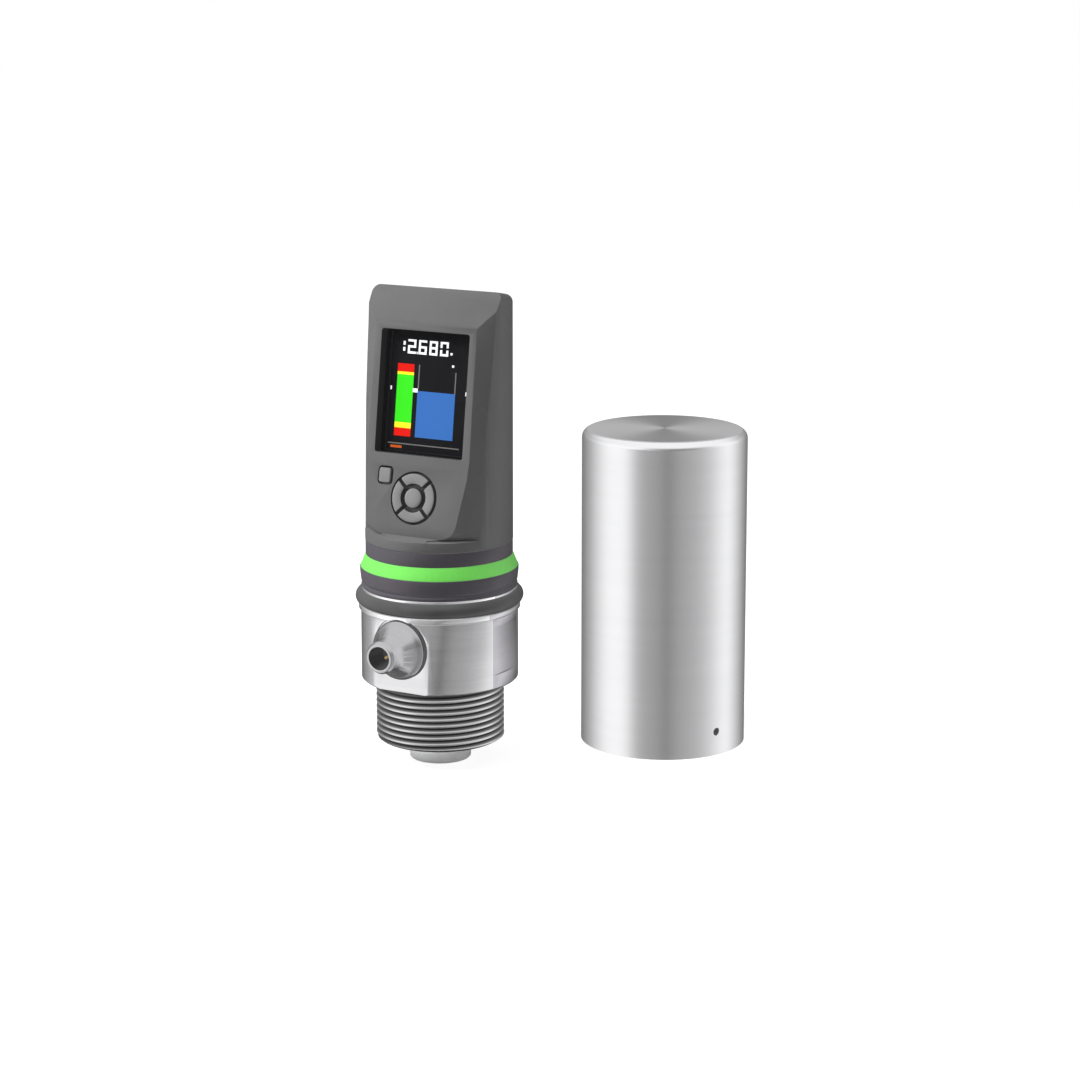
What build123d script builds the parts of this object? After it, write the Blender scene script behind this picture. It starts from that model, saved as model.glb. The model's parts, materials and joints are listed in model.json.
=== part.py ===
from build123d import *
import os
from math import cos, radians, sin, tan

# Guided wave radar level sensor with its protective cover taken off.
# Millimetres, +Z up, display and connector face -Y. z = 0 is the underside
# shoulder of the steel body, where the flat seal of the thread lands.

# Process thread, G 1 1/2 parallel, as the plain wall of its crests.
THREAD_R = 23.9
THREAD_LEN = 23.0
THREAD_END_CHAMFER = 1.2

# Steel body, every ring of it set out from the cavity inside.
CAVITY_R = 23.5
CAVITY_FLOOR = 5.0
HUB_WALL = 2.1
BODY_WALL = 5.7
BODY_TOP = 26.6
BODY_EDGE = 0.7
SHADOW_GROOVE_DEPTH = 0.6
LEDGE_STEP = 0.8
LEDGE_Z0 = 27.2
LEDGE_Z1 = 28.7
LIP_W = 3.2
LIP_Z0 = 34.3
LIP_Z1 = 35.0
HUB_TOP = 40.0
SIDE_FLAT_DEPTH = 1.2
SIDE_FLAT_Z0 = 5.6
SIDE_FLAT_Z1 = 23.6
FRONT_FLAT_DEPTH = 2.4
FRONT_FLAT_RIM = 0.7

# Cover seal.
SEAL_CORD_R = 2.8

# Probe feedthrough.
INSULATOR_R = 11.4
INSULATOR_Z0 = -31.0
INSULATOR_EDGE = 0.5
INSULATOR_FLANGE_R = 14.0
FLANGE_Z0 = -6.0
FLANGE_Z1 = -2.0
CONDUCTOR_R = 6.0
CONDUCTOR_SHY = 0.4
CONDUCTOR_FLANGE_R = 8.5
CONDUCTOR_FLANGE_H = 2.0
STEM_R = 3.0
STEM_TOP = 8.0
SOCKET_R = 3.4
SOCKET_DEPTH = 12.0
SOCKET_POINT = 1.5
SOCKET_CHAMFER = 0.6
CLAMP_NUT_BORE = 10.0
CLAMP_SLOT_W = 3.0
CLAMP_SLOT_DEPTH = 2.0
FIT = 0.05
RING_SLACK = 0.2
INSULATOR_RING_R = 0.95
INSULATOR_RING_Z = (-17.0, -12.0)
CONDUCTOR_RING_R = 0.65
CONDUCTOR_RING_Z = -12.0

# Electronics in the steel body.
RF_BOARD_CLEAR = 2.0
RF_BOARD_Z = 22.0
RF_BOARD_T = 1.6
STANDOFF_R = 1.9
STANDOFF_INSET = 3.5
SCREW_BITE = 2.6
SCREW_BORE = 6.0
STANDOFF_ANGLES = (-30.0, 90.0, 210.0)
SHIELD_SIZE = (22.0, 15.0, 3.0)
SHIELD_SHIFT_Y = 5.5
SHIELD_WALL = 0.3
FEED_PIN_R = 0.8
CABLE_W = 9.0
CABLE_T = 0.8
CABLE_SOCKET = (12.0, 4.0, 3.2)
CABLE_SOCKET_FLOOR = 1.0
CABLE_PLAY = 0.1
CABLE_BEND_Z = 36.0
CABLE_STRAIGHT_Z = 46.0
CABLE_PLUG_R = 3.6
CABLE_PLUG_H = 3.0
CABLE_Y = -7.5
CABLE_GAP = 0.5
RIBBON_V = (-33.0, -29.0)
RIBBON_SOCKET_T = 3.2

# Connector on the front flat, distances from the flat.
PORT_Z = 16.3
GASKET_R = 11.0
GASKET_T = 2.4
SHANK_R = 5.4
SHANK_PLAY = 0.3
CONE_R0 = 10.8
CONE_R1 = 10.1
CONE_R2 = 9.2
CONE_STEP = 0.9
CONE_END = 9.6
TUBE_R = 6.0
TUBE_END = 14.2
TIP_R = 5.2
TIP_END = 15.4
CONNECTOR_BORE = 4.1
BORE_CHAMFER = 0.2
SHANK_INSIDE = 2.9
INSERT_FACE = 6.2
INSERT_SHY = 1.0
PIN_R = 0.5
PIN_RING = 2.1
PIN_FACE = 8.6
PIN_TAIL = 2.0
PIN_ANGLES = (45.0, 135.0, 225.0, 315.0)

# Collar, light ring and neck.
COLLAR_STEP = 0.2
COLLAR_TAPER = 0.4
COLLAR_GROOVE_DEPTH = 0.5
COLLAR_GROOVE_Z0 = 36.2
COLLAR_GROOVE_Z1 = 37.6
COLLAR_EDGE = 0.5
COLLAR_LAND = 1.6
COLLAR_TOP = 42.7
LED_BOARD_W = 4.5
LED_RECESS_Z = 41.0
LED_BOARD_T = 1.0
LED_COUNT = 12
LED_SIZE = (1.8, 1.8, 0.9)
LIGHT_TAPER = 1.9
LIGHT_TOP = 47.4
LIGHT_CHANNEL_Z = 44.4
LIGHT_WALL = 1.2
NECK_TOP = 52.6
NECK_STEP = 2.4
NECK_LAND_H = 0.35
SWIVEL_WALL = 2.6
NECK_SLEEVE_Z0 = 31.0
SWIVEL_INSET = 11.8
SWIVEL_TOP = 59.6
SWIVEL_CHAMFER = 0.4
SWIVEL_RING_Z = 55.6
SWIVEL_RING_R = 0.8
CLIP_Z = 58.3
CLIP_T = 0.9
CLIP_STEP = 1.5
CLIP_BITE = 0.9
CLIP_GAP = 6.0
STOP_PIN_R = 0.8
STOP_PIN_INSET = 5.4
STOP_PIN_TOP = 54.0
STOP_PIN_DEPTH = 2.5
STOP_GROOVE_W = 2.4
STOP_GROOVE_TOP = 54.3
STOP_WEB_HALF = 12.5

# Screen recess and window.
SCREEN_INSET = 8.7
SCREEN_H = 45.0
SCREEN_Z0 = 85.9
SCREEN_CORNER_R = 1.0
WINDOW_DEPTH = 2.8
WINDOW_T = 1.0
GASKET_TAPE_T = 0.2
LEDGE_T = 0.6
LEDGE_W = 2.1
WINDOW_GAP = 0.15
LCD_INSET = 0.7
LCD_T = 2.6

# Head housing. The face is the bezel's plane, the hood leans back above it and
# the keypad face leans out below it down to the foot shelf.
HEAD_STEP = 0.1
SEAM = 0.4
HEAD_WALL = 2.5
FACE_TILT = 7.7
FACE_CUT = 19.05
FACE_REF_OVER = 1.0
HOOD_OVER = 2.3
HOOD_TILT = 34.0
HOOD_H = 12.5
TOP_TILT = 10.0
TOP_EDGE_R = 3.0
SHELF_Z = 57.0
SHELF_RIM_Z = 56.4
PLATE_INSET = 2.0
PLATE_T = 2.0
BEARING_WALL = 2.2
BEARING_TOP = 58.2

# Corner facets: height, bezel edge and rim point, both as insets from HEAD_R.
FACETS = (
    (150.0, 5.9, 0.2),
    (133.0, 5.9, 0.4),
    (104.0, 5.9, 1.3),
    (79.0, 5.9, 2.0),
    (62.0, 8.6, 2.6),
    (60.0, 9.4, 2.7),
    (58.4, 10.9, 2.8),
    (57.4, 13.2, 2.9),
    (57.0, 15.6, 2.9),
    (56.4, 15.6, 2.9),
)
FACET_REACH = 4.0

# Solid corners of the foot behind the facets' lower ends, between keypad and bearing.
FOOT_CORNER_U = 12.5
FOOT_CORNER_D = 13.5
FOOT_CORNER_TOP = 59.8

# Picture on the display, as flat fields in pixels across and up.
FIELD_T = 0.12
PIXELS = (166, 218)
BAR_X = (15, 50)
BAR_RED_HI = (145, 160)
BAR_YELLOW_HI = (140, 145)
BAR_GREEN = (52, 140)
BAR_YELLOW_LO = (42, 52)
BAR_RED_LO = (27, 42)
POINTER_X = (50, 60)
POINTER_Y = (109, 116)
TANK_X = (60, 140)
TANK_Y = (27, 112)
TANK_SIDE_TOP = (160, 151)
TANK_DOT = (132, 162)
LINE_PX = 2
FOOT_LINE_X = (3, 155)
FOOT_LINE_Y = 12
TICK_X = (3, 163)
TICK_Y = 114
TICK_PX = (2.5, 7)
DIGITS = "12680"
DIGIT_Y = (179, 205)
DIGIT_X0 = 11
DIGIT_PX = 17
DIGIT_PITCH_PX = 23
SEGMENT_PX = 4
POINT_AFTER = 2
UNIT_MARK = (127, 184)
LAMP_AT = (21, 7)
LAMP_PX = (24, 4.5)

# Keypad.
KEYPAD_TILT = 12.0
KEYPAD_TOP_UNDER = 0.2
KEY_RISE = 0.7
KEY_TRAVEL = 0.4
KEY_REST_GAP = 0.1
KEY_FLANGE_T = 0.8
KEY_FLANGE_W = 1.1
MENU_FLANGE_W = 0.75
MENU_FLANGE_SHIFT = 0.5
KEY_PLAY = 0.7
PAD_UNDER = 14.9
PAD_R = 9.05
PAD_INNER_R = 4.9
PAD_SPLIT = 1.4
ENTER_R = 3.8
MENU_INSET = 14.5
MENU_OVER = 7.1
MENU_SIZE = (5.1, 5.5)
MENU_CORNER_R = 1.0
MENU_CHAMFER = 0.4
MEMBRANE_T = 0.8
SWITCH_SIZE = (3.0, 3.0, 1.2)
SWITCH_RING = 7.1
KEYBOARD_T = 1.0
KEYBOARD_INSET = 10.2
KEYBOARD_V = (-8.6, 11.2)
MAT_PLAY = 0.2
BOSS_PLAY = 0.3
MAT_V = (-9.9, 11.2)
BOSS_R = 2.2
BOSS_ROOT = 0.5
KEY_BOSS_INSET = 12.8
KEY_BOSS_V = (-6.4, 8.0)

# Crowns of the keys: inset from the key's edge, drop below the key's full rise.
ARC_CROWN_OUT = ((0.0, 0.5), (0.4, 0.15), (1.4, 0.0))
ARC_CROWN_IN = ((1.3, 0.1), (0.35, 0.35), (0.0, 0.7))
ENTER_CROWN = ((0.0, 0.75), (0.4, 0.35), (1.3, 0.1), (ENTER_R, 0.0))
ENTER_RISE = 0.85

# Boards in the head, stacked behind the display.
BOARD_T = 1.6
DISPLAY_BOARD_INSET = 5.4
DISPLAY_BOARD_OVER = 2.5
DISPLAY_BOSS_INSET = 7.4
DISPLAY_BOSS_OVER = 0.1
DISPLAY_BOSS_R = 1.9
MAIN_BOARD_INSET = 7.4
MAIN_BOARD_OVER = 8.5
MAIN_BOARD_SHIFT = -3.0
SPACER_H = 8.0
SPACER_R = 2.0
SPACER_BORE = 4.0
SPACER_INSET = 9.9
SPACER_V = 15.0
SCREW_HEAD_R = 1.9
SCREW_HEAD_H = 1.2
SCREW_SHANK_R = 1.0
DRIVE_R = 0.9
DRIVE_DEPTH = 0.6
CHIPS = ((0.0, 6.0, 12.0, 12.0, 1.4), (-9.0, -12.0, 7.0, 9.0, 1.2), (9.0, -11.0, 8.0, 6.0, 1.8))

# Protective cover, standing beside the sensor on the same floor.
COVER_STEP = 1.3
COVER_WALL = 1.2
COVER_H = 120.4
COVER_EDGE_R = 3.4
COVER_AT = (61.5, 62.9)
COVER_RIM_CHAMFER = 0.4
SET_SCREW_R = 1.45
SET_SCREW_HOLE_R = 1.5
SET_SCREW_H = 9.0
SET_SCREW_AZ = 67.0
SET_SCREW_L = 2.1
SET_SCREW_SHY = 0.3
SET_SCREW_DRIVE_R = 0.8
SET_SCREW_DRIVE_DEPTH = 1.0

# Reach of cutters past the stock, beyond everything and by a little.
FAR = 90.0
OVERCUT = 1.0

FACE_SLOPE = tan(radians(FACE_TILT))
HOOD_SLOPE = tan(radians(HOOD_TILT))
TOP_SLOPE = tan(radians(TOP_TILT))
KEYPAD_SLOPE = tan(radians(KEYPAD_TILT))

SEAL_GROOVE_R = CAVITY_R + HUB_WALL
BODY_R = CAVITY_R + BODY_WALL
SHADOW_GROOVE_R = BODY_R - SHADOW_GROOVE_DEPTH
LEDGE_R = BODY_R + LEDGE_STEP
LIP_R = SEAL_GROOVE_R + LIP_W
SIDE_FLAT_D = BODY_R - SIDE_FLAT_DEPTH
FRONT_FLAT_D = BODY_R - FRONT_FLAT_DEPTH
FRONT_FLAT_R = GASKET_R + FRONT_FLAT_RIM
SHANK_D = CAVITY_R - SHANK_INSIDE
INSERT_BACK_D = SHANK_D - INSERT_SHY
INSERT_FACE_D = FRONT_FLAT_D + INSERT_FACE
PIN_BACK_D = INSERT_BACK_D - PIN_TAIL
PIN_FACE_D = FRONT_FLAT_D + PIN_FACE
RF_BOARD_R = CAVITY_R - RF_BOARD_CLEAR
STANDOFF_RING = RF_BOARD_R - STANDOFF_INSET
SEAL_Z = LEDGE_Z1 + SEAL_CORD_R

COLLAR_R = BODY_R + COLLAR_STEP
COLLAR_LOW_R = COLLAR_R - COLLAR_TAPER
COLLAR_GROOVE_R = COLLAR_LOW_R - COLLAR_GROOVE_DEPTH
LED_RECESS_R = CAVITY_R + LED_BOARD_W
LED_RING = (CAVITY_R + LED_RECESS_R) / 2
LIGHT_R0 = LED_RECESS_R + LIGHT_WALL
LIGHT_R1 = LIGHT_R0 - LIGHT_TAPER
NECK_R = LIGHT_R1
HEAD_R = NECK_R + HEAD_STEP
SWIVEL_R = HEAD_R - SWIVEL_INSET
STOP_PIN_RING = HEAD_R - STOP_PIN_INSET
NECK_LAND_R = NECK_R - NECK_STEP
NECK_LAND_Z = NECK_TOP + NECK_LAND_H
NECK_SLEEVE_BORE = SWIVEL_R - SWIVEL_WALL
CLIP_R = SWIVEL_R + CLIP_STEP
CLIP_GROOVE_R = SWIVEL_R - CLIP_BITE
STOP_GROOVE_R0 = STOP_PIN_RING - STOP_GROOVE_W / 2
STOP_GROOVE_R1 = STOP_PIN_RING + STOP_GROOVE_W / 2
HEAD_Z0 = NECK_TOP + SEAM
PLATE_R = HEAD_R - PLATE_INSET
PLATE_TOP = HEAD_Z0 + PLATE_T
BEARING_R = SWIVEL_R + BEARING_WALL
COVER_R = LEDGE_R + COVER_STEP
SET_SCREW_OUT = COVER_R - SET_SCREW_SHY
SET_SCREW_IN = SET_SCREW_OUT - SET_SCREW_L

SCREEN_HALF_W = HEAD_R - SCREEN_INSET
SCREEN_Z1 = SCREEN_Z0 + SCREEN_H
FACE_D_REF = HEAD_R - FACE_CUT
FACE_Z_REF = SCREEN_Z1 + FACE_REF_OVER
HOOD_Z = SCREEN_Z1 + HOOD_OVER
TOP_Z = HOOD_Z + HOOD_H
KEYPAD_TOP_Z = SCREEN_Z0 - KEYPAD_TOP_UNDER
PAD_Z = KEYPAD_TOP_Z - PAD_UNDER
MENU_Z = PAD_Z + MENU_OVER
MENU_U = MENU_INSET - HEAD_R
OPENING_HALF_W = SCREEN_HALF_W - LEDGE_W
OPENING_HALF_H = SCREEN_H / 2 - LCD_INSET
LCD_HALF_W = SCREEN_HALF_W - LCD_INSET
SEAT_D = WINDOW_T + GASKET_TAPE_T
LCD_FACE = SEAT_D + LEDGE_T
LCD_BACK = LCD_FACE + LCD_T
DISPLAY_BOARD_BACK = LCD_BACK + BOARD_T
MAIN_BOARD_FACE = DISPLAY_BOARD_BACK + SPACER_H
MAIN_BOARD_BACK = MAIN_BOARD_FACE + BOARD_T
DISPLAY_BOARD_HALF_H = SCREEN_H / 2 + DISPLAY_BOARD_OVER
DISPLAY_BOSS_V = SCREEN_H / 2 + DISPLAY_BOSS_OVER
DISPLAY_BOSS_U = HEAD_R - DISPLAY_BOSS_INSET
DISPLAY_BOSSES = [
    (u, v) for u in (-DISPLAY_BOSS_U, DISPLAY_BOSS_U) for v in (-DISPLAY_BOSS_V, DISPLAY_BOSS_V)
]
SPACER_U = HEAD_R - SPACER_INSET
SPACER_POINTS = [(u, v) for u in (-SPACER_U, SPACER_U) for v in (-SPACER_V, SPACER_V)]
KEY_BOSS_U = HEAD_R - KEY_BOSS_INSET
KEY_BOSSES = ((-KEY_BOSS_U, KEY_BOSS_V[0]), (KEY_BOSS_U, KEY_BOSS_V[0]), (KEY_BOSS_U, KEY_BOSS_V[1]))
KEYBOARD_HALF_W = HEAD_R - KEYBOARD_INSET
MAIN_BOARD_HALF_H = SCREEN_H / 2 + MAIN_BOARD_OVER
KEY_FLANGE_TOP = HEAD_WALL + KEY_REST_GAP
KEY_BOTTOM = -(KEY_FLANGE_TOP + KEY_FLANGE_T)
MEMBRANE_TOP = KEY_FLANGE_TOP + KEY_FLANGE_T + KEY_TRAVEL + KEY_REST_GAP
MEMBRANE_BACK = MEMBRANE_TOP + MEMBRANE_T
KEYBOARD_FACE = MEMBRANE_BACK + SWITCH_SIZE[2]
PAD_HOLE_R = PAD_R + KEY_PLAY


def face_d(z):
    """Distance of the sloped face in front of the axis at height z."""
    return FACE_D_REF + FACE_SLOPE * (FACE_Z_REF - z)


def hood_d(z):
    """Distance of the hood's face in front of the axis at height z."""
    return face_d(HOOD_Z) - HOOD_SLOPE * (z - HOOD_Z)


def keypad_d(z):
    """Distance of the keypad face in front of the axis at height z."""
    return face_d(KEYPAD_TOP_Z) + KEYPAD_SLOPE * (KEYPAD_TOP_Z - z)


def tilted_plane(distance, z, tilt):
    """Plane facing -Y and leaning back by tilt degrees, local y pointing up."""
    lean = radians(tilt)
    return Plane(origin=(0, -distance, z), x_dir=(1, 0, 0), z_dir=(0, -cos(lean), sin(lean)))


SCREEN_MID_Z = (SCREEN_Z0 + SCREEN_Z1) / 2
FACE_PLANE = tilted_plane(face_d(SCREEN_MID_Z), SCREEN_MID_Z, FACE_TILT)
WINDOW_PLANE = FACE_PLANE.offset(-WINDOW_DEPTH)
PAD_PLANE = tilted_plane(keypad_d(PAD_Z), PAD_Z, KEYPAD_TILT)
PORT = tilted_plane(0, PORT_Z, 0)


def turned(points):
    """Solid turned about Z from a closed (radius, height) outline."""
    outline = Polyline(*[(r, 0, z) for r, z in points], close=True)
    return revolve(make_face(outline), axis=Axis.Z)


def side_prism(points):
    """Prism across the whole width from a closed (y, z) outline."""
    outline = Polyline(*[(0, y, z) for y, z in points], close=True)
    return extrude(make_face(outline), amount=FAR, both=True)


def slab(plane, u, v, near, far):
    """Block on a plane between u and v limits, from depth near to depth far."""
    block = Box(u[1] - u[0], v[1] - v[0], far - near)
    return plane * Pos((u[0] + u[1]) / 2, (v[0] + v[1]) / 2, -(near + far) / 2) * block


def peg(plane, at, r, near, far):
    """Cylinder square to a plane, from depth near to depth far."""
    return plane * Pos(at[0], at[1], -(near + far) / 2) * Cylinder(r, far - near)


def drilled(board, plane, points, near, far):
    """Board with a screw hole at each point, from depth near to depth far."""
    for at in points:
        board -= peg(plane, at, SCREW_SHANK_R + FIT, near - OVERCUT, far + OVERCUT)
    return board


def pad_v(z):
    """Position along the keypad plane of a height z on it."""
    return (z - PAD_Z) / cos(radians(KEYPAD_TILT))


def ring_wedge(r, half_angle, mid_angle, z0, z1):
    """Pie slice about Z used to cut or keep part of a ring."""
    a0 = radians(mid_angle - half_angle)
    a1 = radians(mid_angle + half_angle)
    outline = Polyline((0, 0), (r * cos(a0), r * sin(a0)), (r * cos(a1), r * sin(a1)), close=True)
    return Pos(0, 0, z0) * extrude(make_face(outline), amount=z1 - z0)


def port_turned(points):
    """Solid turned about the connector axis from a (radius, distance) outline."""
    return PORT * turned(points)


def process_body():
    body = turned([
        (INSULATOR_R + FIT, -THREAD_LEN),
        (THREAD_R - THREAD_END_CHAMFER, -THREAD_LEN),
        (THREAD_R, -THREAD_LEN + THREAD_END_CHAMFER),
        (THREAD_R, 0),
        (BODY_R - BODY_EDGE, 0),
        (BODY_R, BODY_EDGE),
        (BODY_R, BODY_TOP),
        (SHADOW_GROOVE_R, BODY_TOP),
        (SHADOW_GROOVE_R, LEDGE_Z0),
        (LEDGE_R, LEDGE_Z0),
        (LEDGE_R, LEDGE_Z1),
        (SEAL_GROOVE_R, LEDGE_Z1),
        (SEAL_GROOVE_R, LIP_Z0),
        (LIP_R, LIP_Z0),
        (LIP_R, LIP_Z1),
        (SEAL_GROOVE_R, LIP_Z1),
        (SEAL_GROOVE_R, HUB_TOP),
        (CAVITY_R, HUB_TOP),
        (CAVITY_R, CAVITY_FLOOR),
        (INSULATOR_FLANGE_R + 2 * FIT, CAVITY_FLOOR),
        (INSULATOR_FLANGE_R + 2 * FIT, FLANGE_Z0),
        (INSULATOR_R + FIT, FLANGE_Z0),
    ])
    for side in (-1, 1):
        flat_w = BODY_R
        flat = Box(flat_w, 2 * BODY_R, SIDE_FLAT_Z1 - SIDE_FLAT_Z0)
        middle = (SIDE_FLAT_Z0 + SIDE_FLAT_Z1) / 2
        body -= Pos(side * (SIDE_FLAT_D + flat_w / 2), 0, middle) * flat
    body -= peg(PORT, (0, 0), FRONT_FLAT_R, -2 * BODY_R, -FRONT_FLAT_D)
    front = Box(2 * FRONT_FLAT_R, BODY_R, 2 * PORT_Z)
    body -= Pos(0, -FRONT_FLAT_D - BODY_R / 2, 0) * front
    body -= peg(PORT, (0, 0), SHANK_R + FIT, -BODY_R, -SHANK_D)
    return body


def probe_insulator():
    groove_r = INSULATOR_R - 2 * INSULATOR_RING_R
    half = INSULATOR_RING_R + RING_SLACK
    outline = [
        (CONDUCTOR_R + FIT, INSULATOR_Z0),
        (INSULATOR_R - INSULATOR_EDGE, INSULATOR_Z0),
        (INSULATOR_R, INSULATOR_Z0 + INSULATOR_EDGE),
    ]
    for z in INSULATOR_RING_Z:
        outline += [(INSULATOR_R, z - half), (groove_r, z - half)]
        outline += [(groove_r, z + half), (INSULATOR_R, z + half)]
    outline += [
        (INSULATOR_R, FLANGE_Z0),
        (INSULATOR_FLANGE_R, FLANGE_Z0),
        (INSULATOR_FLANGE_R, FLANGE_Z1),
        (CONDUCTOR_R + FIT, FLANGE_Z1),
    ]
    return turned(outline)


def seal_ring(inner_r, outer_r, z, height):
    """Square cut seal ring centred at height z."""
    low = z - height / 2
    high = z + height / 2
    return turned([(inner_r, low), (outer_r, low), (outer_r, high), (inner_r, high)])


def insulator_seals():
    inner = INSULATOR_R - 2 * INSULATOR_RING_R
    height = 2 * INSULATOR_RING_R
    return Compound([seal_ring(inner, INSULATOR_R, z, height) for z in INSULATOR_RING_Z])


def insulator_clamp_nut():
    nut = turned([
        (CLAMP_NUT_BORE, FLANGE_Z1),
        (INSULATOR_FLANGE_R + FIT, FLANGE_Z1),
        (INSULATOR_FLANGE_R + FIT, CAVITY_FLOOR),
        (CLAMP_NUT_BORE, CAVITY_FLOOR),
    ])
    return nut - Pos(0, 0, CAVITY_FLOOR) * Box(3 * INSULATOR_FLANGE_R, CLAMP_SLOT_W, 2 * CLAMP_SLOT_DEPTH)


def probe_conductor():
    bottom = INSULATOR_Z0 + CONDUCTOR_SHY
    groove_r = CONDUCTOR_R - 2 * CONDUCTOR_RING_R
    half = CONDUCTOR_RING_R + RING_SLACK
    return turned([
        (0, bottom + SOCKET_DEPTH + SOCKET_POINT),
        (SOCKET_R, bottom + SOCKET_DEPTH),
        (SOCKET_R, bottom + SOCKET_CHAMFER),
        (SOCKET_R + SOCKET_CHAMFER, bottom),
        (CONDUCTOR_R, bottom),
        (CONDUCTOR_R, CONDUCTOR_RING_Z - half),
        (groove_r, CONDUCTOR_RING_Z - half),
        (groove_r, CONDUCTOR_RING_Z + half),
        (CONDUCTOR_R, CONDUCTOR_RING_Z + half),
        (CONDUCTOR_R, FLANGE_Z1),
        (CONDUCTOR_FLANGE_R, FLANGE_Z1),
        (CONDUCTOR_FLANGE_R, FLANGE_Z1 + CONDUCTOR_FLANGE_H),
        (STEM_R, FLANGE_Z1 + CONDUCTOR_FLANGE_H),
        (STEM_R, STEM_TOP),
        (0, STEM_TOP),
    ])


def conductor_seal():
    inner = CONDUCTOR_R - 2 * CONDUCTOR_RING_R
    return seal_ring(inner, CONDUCTOR_R, CONDUCTOR_RING_Z, 2 * CONDUCTOR_RING_R)


def feed_pin():
    length = RF_BOARD_Z - STEM_TOP
    return Pos(0, 0, STEM_TOP + length / 2) * Cylinder(FEED_PIN_R, length)


def standoff_points():
    """Centres of the three standoffs, clear of the connector port."""
    spots = []
    for angle in STANDOFF_ANGLES:
        a = radians(angle)
        spots.append((STANDOFF_RING * cos(a), STANDOFF_RING * sin(a)))
    return spots


def base_standoffs():
    height = RF_BOARD_Z - CAVITY_FLOOR
    post = extrude(RegularPolygon(STANDOFF_R, 6), amount=height)
    posts = [Pos(x, y, CAVITY_FLOOR) * post for x, y in standoff_points()]
    bore = Pos(0, 0, RF_BOARD_Z) * Cylinder(SCREW_SHANK_R + FIT, SCREW_BORE)
    return Compound([post - Pos(x, y, 0) * bore for post, (x, y) in zip(posts, standoff_points())])


def rf_board():
    board = Pos(0, 0, RF_BOARD_Z + RF_BOARD_T / 2) * Cylinder(RF_BOARD_R, RF_BOARD_T)
    for x, y in standoff_points():
        board -= Pos(x, y, RF_BOARD_Z) * Cylinder(SCREW_SHANK_R + FIT, SCREW_BORE)
    return board


def screw(length):
    """Pan head screw, seat at z = 0, head above, shank below."""
    head = Pos(0, 0, SCREW_HEAD_H / 2) * Cylinder(SCREW_HEAD_R, SCREW_HEAD_H)
    shank = Pos(0, 0, -length / 2) * Cylinder(SCREW_SHANK_R, length)
    drive = Pos(0, 0, SCREW_HEAD_H) * extrude(RegularPolygon(DRIVE_R, 6), amount=-DRIVE_DEPTH)
    return head + shank - drive


def base_board_screws():
    top = RF_BOARD_Z + RF_BOARD_T
    one = screw(RF_BOARD_T + SCREW_BITE)
    return Compound([Pos(x, y, top) * one for x, y in standoff_points()])


def rf_shield():
    w, d, h = SHIELD_SIZE
    base = RF_BOARD_Z + RF_BOARD_T
    can = Pos(0, SHIELD_SHIFT_Y, base + h / 2) * Box(w, d, h)
    room = Box(w - 2 * SHIELD_WALL, d - 2 * SHIELD_WALL, h)
    return can - Pos(0, SHIELD_SHIFT_Y, base + h / 2 - SHIELD_WALL) * room


def cable_socket():
    w, d, h = CABLE_SOCKET
    base = RF_BOARD_Z + RF_BOARD_T
    block = Pos(0, CABLE_Y, base + h / 2) * Box(w, d, h)
    slot = Box(CABLE_W + 2 * CABLE_PLAY, CABLE_T + 2 * CABLE_PLAY, 2 * (h - CABLE_SOCKET_FLOOR))
    return block - Pos(0, CABLE_Y, base + h) * slot


def head_cable():
    low = RF_BOARD_Z + RF_BOARD_T + CABLE_SOCKET_FLOOR
    plug_z = SWIVEL_TOP - CABLE_PLUG_H
    path = [(CABLE_Y, low), (CABLE_Y, CABLE_BEND_Z), (0, CABLE_STRAIGHT_Z), (0, plug_z)]
    half = CABLE_T / 2
    outline = [(y - half, z) for y, z in path]
    outline += [(y + half, z) for y, z in reversed(path)]
    strip = Polyline(*[(0, y, z) for y, z in outline], close=True)
    ribbon = extrude(make_face(strip), amount=CABLE_W / 2, both=True)
    return ribbon + Pos(0, 0, SWIVEL_TOP - CABLE_PLUG_H / 2) * Cylinder(CABLE_PLUG_R, CABLE_PLUG_H)


def head_ribbon():
    """Short ribbon from the main board down to a round socket over the cable plug."""
    low = SWIVEL_TOP + CABLE_GAP
    end = WINDOW_PLANE.from_local_coords((0, RIBBON_V[0], -(MAIN_BOARD_FACE - RIBBON_SOCKET_T / 2)))
    half = CABLE_T / 2
    outline = [(-half, low), (half, low), (end.Y + half, end.Z), (end.Y - half, end.Z)]
    strip = Polyline(*[(0, y, z) for y, z in outline], close=True)
    ribbon = extrude(make_face(strip), amount=CABLE_W / 2, both=True)
    ribbon += Pos(0, 0, low + CABLE_PLUG_H / 2) * Cylinder(CABLE_PLUG_R, CABLE_PLUG_H)
    width = (-CABLE_SOCKET[0] / 2, CABLE_SOCKET[0] / 2)
    return ribbon + slab(WINDOW_PLANE, width, RIBBON_V, MAIN_BOARD_FACE - RIBBON_SOCKET_T, MAIN_BOARD_FACE)


def cover_seal_o_ring():
    return Pos(0, 0, SEAL_Z) * Torus(SEAL_GROOVE_R + SEAL_CORD_R, SEAL_CORD_R)


def connector_gasket():
    bore = SHANK_R + SHANK_PLAY
    return port_turned([
        (bore, FRONT_FLAT_D),
        (GASKET_R, FRONT_FLAT_D),
        (GASKET_R, FRONT_FLAT_D + GASKET_T),
        (bore, FRONT_FLAT_D + GASKET_T),
    ])


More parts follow.
